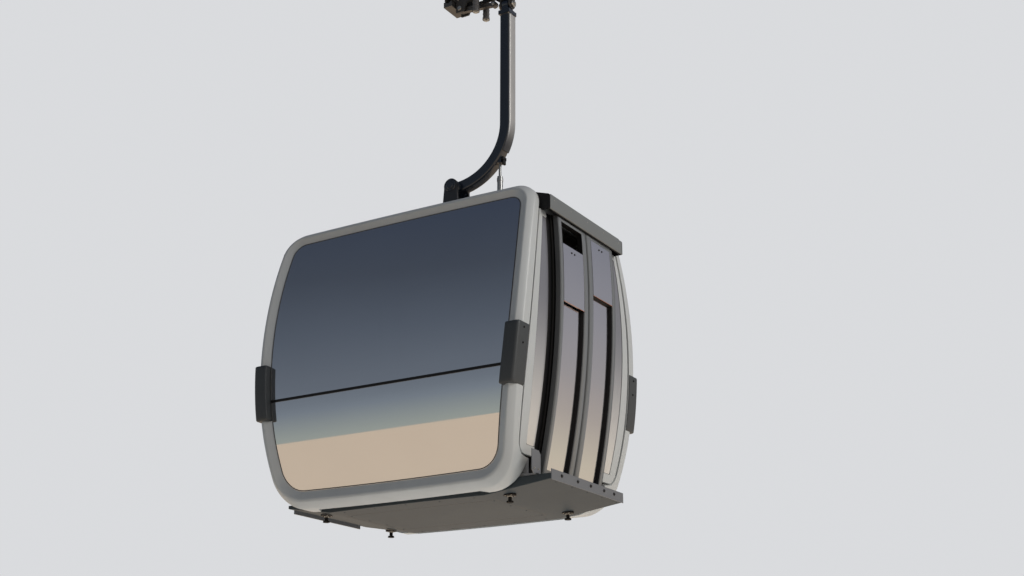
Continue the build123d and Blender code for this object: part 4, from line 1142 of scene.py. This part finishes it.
def make_interior():
    @build("floor_mat", "floor_metal", "floor_mat")
    def _(bm):
        slab(bm, at(-1000, -560, 119), at(1000, 560, 121.5), 1)

    runs = [[(at(x, k * 10.5, 121), UP) for x in (-980, 980)] for k in range(-26, 27)]
    strips("floor_mat_ribs", "floor_metal", flat(3, 2, 0, 1.4), runs, "floor_mat")

    @build("ceiling_panel", "roof_paint", "ceiling")
    def _(bm):
        slab(bm, at(-900, -620, 2129), at(900, 620, 2134), 2)

    @build("ceiling_lights", "roof_paint", "lamp")
    def _(bm):
        for y in (-330, 330):
            slab(bm, at(-600, y - 20, 2122), at(600, y + 20, 2130), 3)

    @build("grab_rails", "rail_steel")
    def _(bm):
        bend = [(880, 2130), (880, 2040), (850, 2000), (800, 1990)]
        path = [(-x, h) for x, h in bend] + [(x, 1990) for x in steps(-700, 700, 6)] + list(reversed(bend))
        for y in (-520, 520):
            tube(bm, [at(x, y, h) for x, h in path], 14, 16)

    runs = [[(at(x + u, end * 561, 190 + k * 18), Vector((0, -end, 0))) for u in (-90, 90)]
            for end, x, k in product((-1, 1), (-500, 0, 500), range(5))]
    strips("bench_vents", "seat_shell", flat(4, 2, -2, 5), runs, "panel_black")


# Camera, light and floor

def make_camera():
    data = bpy.data.cameras.new("camera")
    data.sensor_width = SENSOR
    data.lens = FOCAL_PX / WIDTH_PX * SENSOR
    data.clip_end = 500.0
    camera = bpy.data.objects.new("camera", data)
    scene.collection.objects.link(camera)
    aim = Matrix.Rotation(YAW, 4, "Z") @ Matrix.Rotation(math.pi / 2 + PITCH, 4, "X")
    camera.matrix_world = Matrix.Translation(CAMERA_AT) @ aim @ Matrix.Rotation(ROLL, 4, "Z")
    scene.camera = camera


def ramped(tree, source, stops):
    """Colour from a ramp of (position, colour) pairs."""
    ramp = node(tree, "ShaderNodeValToRGB", {0: source})
    elements = ramp.color_ramp.elements
    for i, (position, colour) in enumerate(stops):
        element = elements[i] if i < 2 else elements.new(position)
        element.position = position
        element.color = (*colour, 1)
    return ramp.outputs[0]


def make_world():
    """Sky that darkens upwards in front, stays bright beside the doors, and is pale for the camera."""
    world = scene.world = bpy.data.worlds.new("sky")
    world.use_nodes = True
    tree = world.node_tree
    tree.nodes.clear()
    coords = node(tree, "ShaderNodeTexCoord")
    split = node(tree, "ShaderNodeSeparateXYZ", {0: coords.outputs["Generated"]})
    front = ramped(tree, split.outputs["Z"], (
        (0.0, (0.45, 0.48, 0.43)), (0.9, (0.045, 0.06, 0.10)), (0.16, (0.275, 0.31, 0.35)),
        (0.28, (0.19, 0.215, 0.255)), (0.45, (0.132, 0.154, 0.192)), (0.62, (0.083, 0.098, 0.128)),
    ))
    beside = ramped(tree, split.outputs["Z"], (
        (0.0, (0.80, 0.67, 0.50)), (0.9, (0.22, 0.23, 0.27)), (0.09, (0.57, 0.50, 0.43)),
        (0.17, (0.44, 0.42, 0.41)), (0.28, (0.37, 0.37, 0.39)), (0.42, (0.29, 0.30, 0.335)),
    ))
    side = ranged(tree, split.outputs["X"], -0.1, 0.45, kind="SMOOTHSTEP")
    seen = node(tree, "ShaderNodeLightPath").outputs["Is Camera Ray"]
    sky = mixed(tree, seen, mixed(tree, side, front, beside), (0.70, 0.71, 0.73))
    back = node(tree, "ShaderNodeBackground", {0: sky})
    node(tree, "ShaderNodeOutputWorld", {0: back.outputs[0]})


def area_light(name, place, target, size, power, colour, mirrored):
    data = bpy.data.lights.new(name, "AREA")
    data.size = size
    data.energy = power
    data.color = colour
    lamp = bpy.data.objects.new(name, data)
    lamp.visible_glossy = mirrored
    scene.collection.objects.link(lamp)
    aim = (Vector(target) - Vector(place)).to_track_quat("-Z", "Y")
    lamp.matrix_world = Matrix.Translation(place) @ aim.to_matrix().to_4x4()


def make_floor():
    """Pale warm floor, seen flat by the camera and by reflections, with the part's shadow on it."""
    s = FLOOR_HALF
    mesh = bpy.data.meshes.new("floor")
    corners = [(-s, -s, FLOOR_Z), (s, -s, FLOOR_Z), (s, s, FLOOR_Z), (-s, s, FLOOR_Z)]
    mesh.from_pydata(corners, [], [(0, 1, 2, 3)])
    floor = bpy.data.objects.new("floor", mesh)
    scene.collection.objects.link(floor)
    made = surface("floor", (0.66, 0.65, 0.625), 0.9, vary=0.05, blotch=0.3, grain=40, bump=0.1)
    tree = made.node_tree
    path = node(tree, "ShaderNodeLightPath").outputs
    share = maths(tree, "MULTIPLY", maths(tree, "MAXIMUM", path["Is Glossy Ray"], path["Is Camera Ray"]), 0.85)
    glow = node(tree, "ShaderNodeEmission", {"Color": (0.98, 0.77, 0.57, 1)})
    shaders = {0: share, 1: tree.nodes["Principled BSDF"].outputs[0], 2: glow.outputs[0]}
    mix = node(tree, "ShaderNodeMixShader", shaders)
    fill_inputs(tree, tree.nodes["Material Output"], {"Surface": mix.outputs[0]})
    mesh.materials.append(made)


make_camera()
make_world()
make_floor()
area_light("key", (13, 1, 3), (0.5, 0, -3), 7, 760, (1, 0.99, 0.965), True)
area_light("bounce", (0.4, 0.6, -6.4), (0.4, 0.6, -4), 5, 60, (0.99, 1, 0.99), False)
dress_cad()
make_end_rings()
make_bumpers()
make_corner_forms()
make_base_forms()
make_headers()
make_roof_frame()
make_corner_details()
make_door_details()
make_left_bay()
make_header_details()
make_base_details()
make_hanger_details()
make_roof_details()
make_grip_details()
make_benches()
make_interior()
scene.view_settings.view_transform = "Standard"
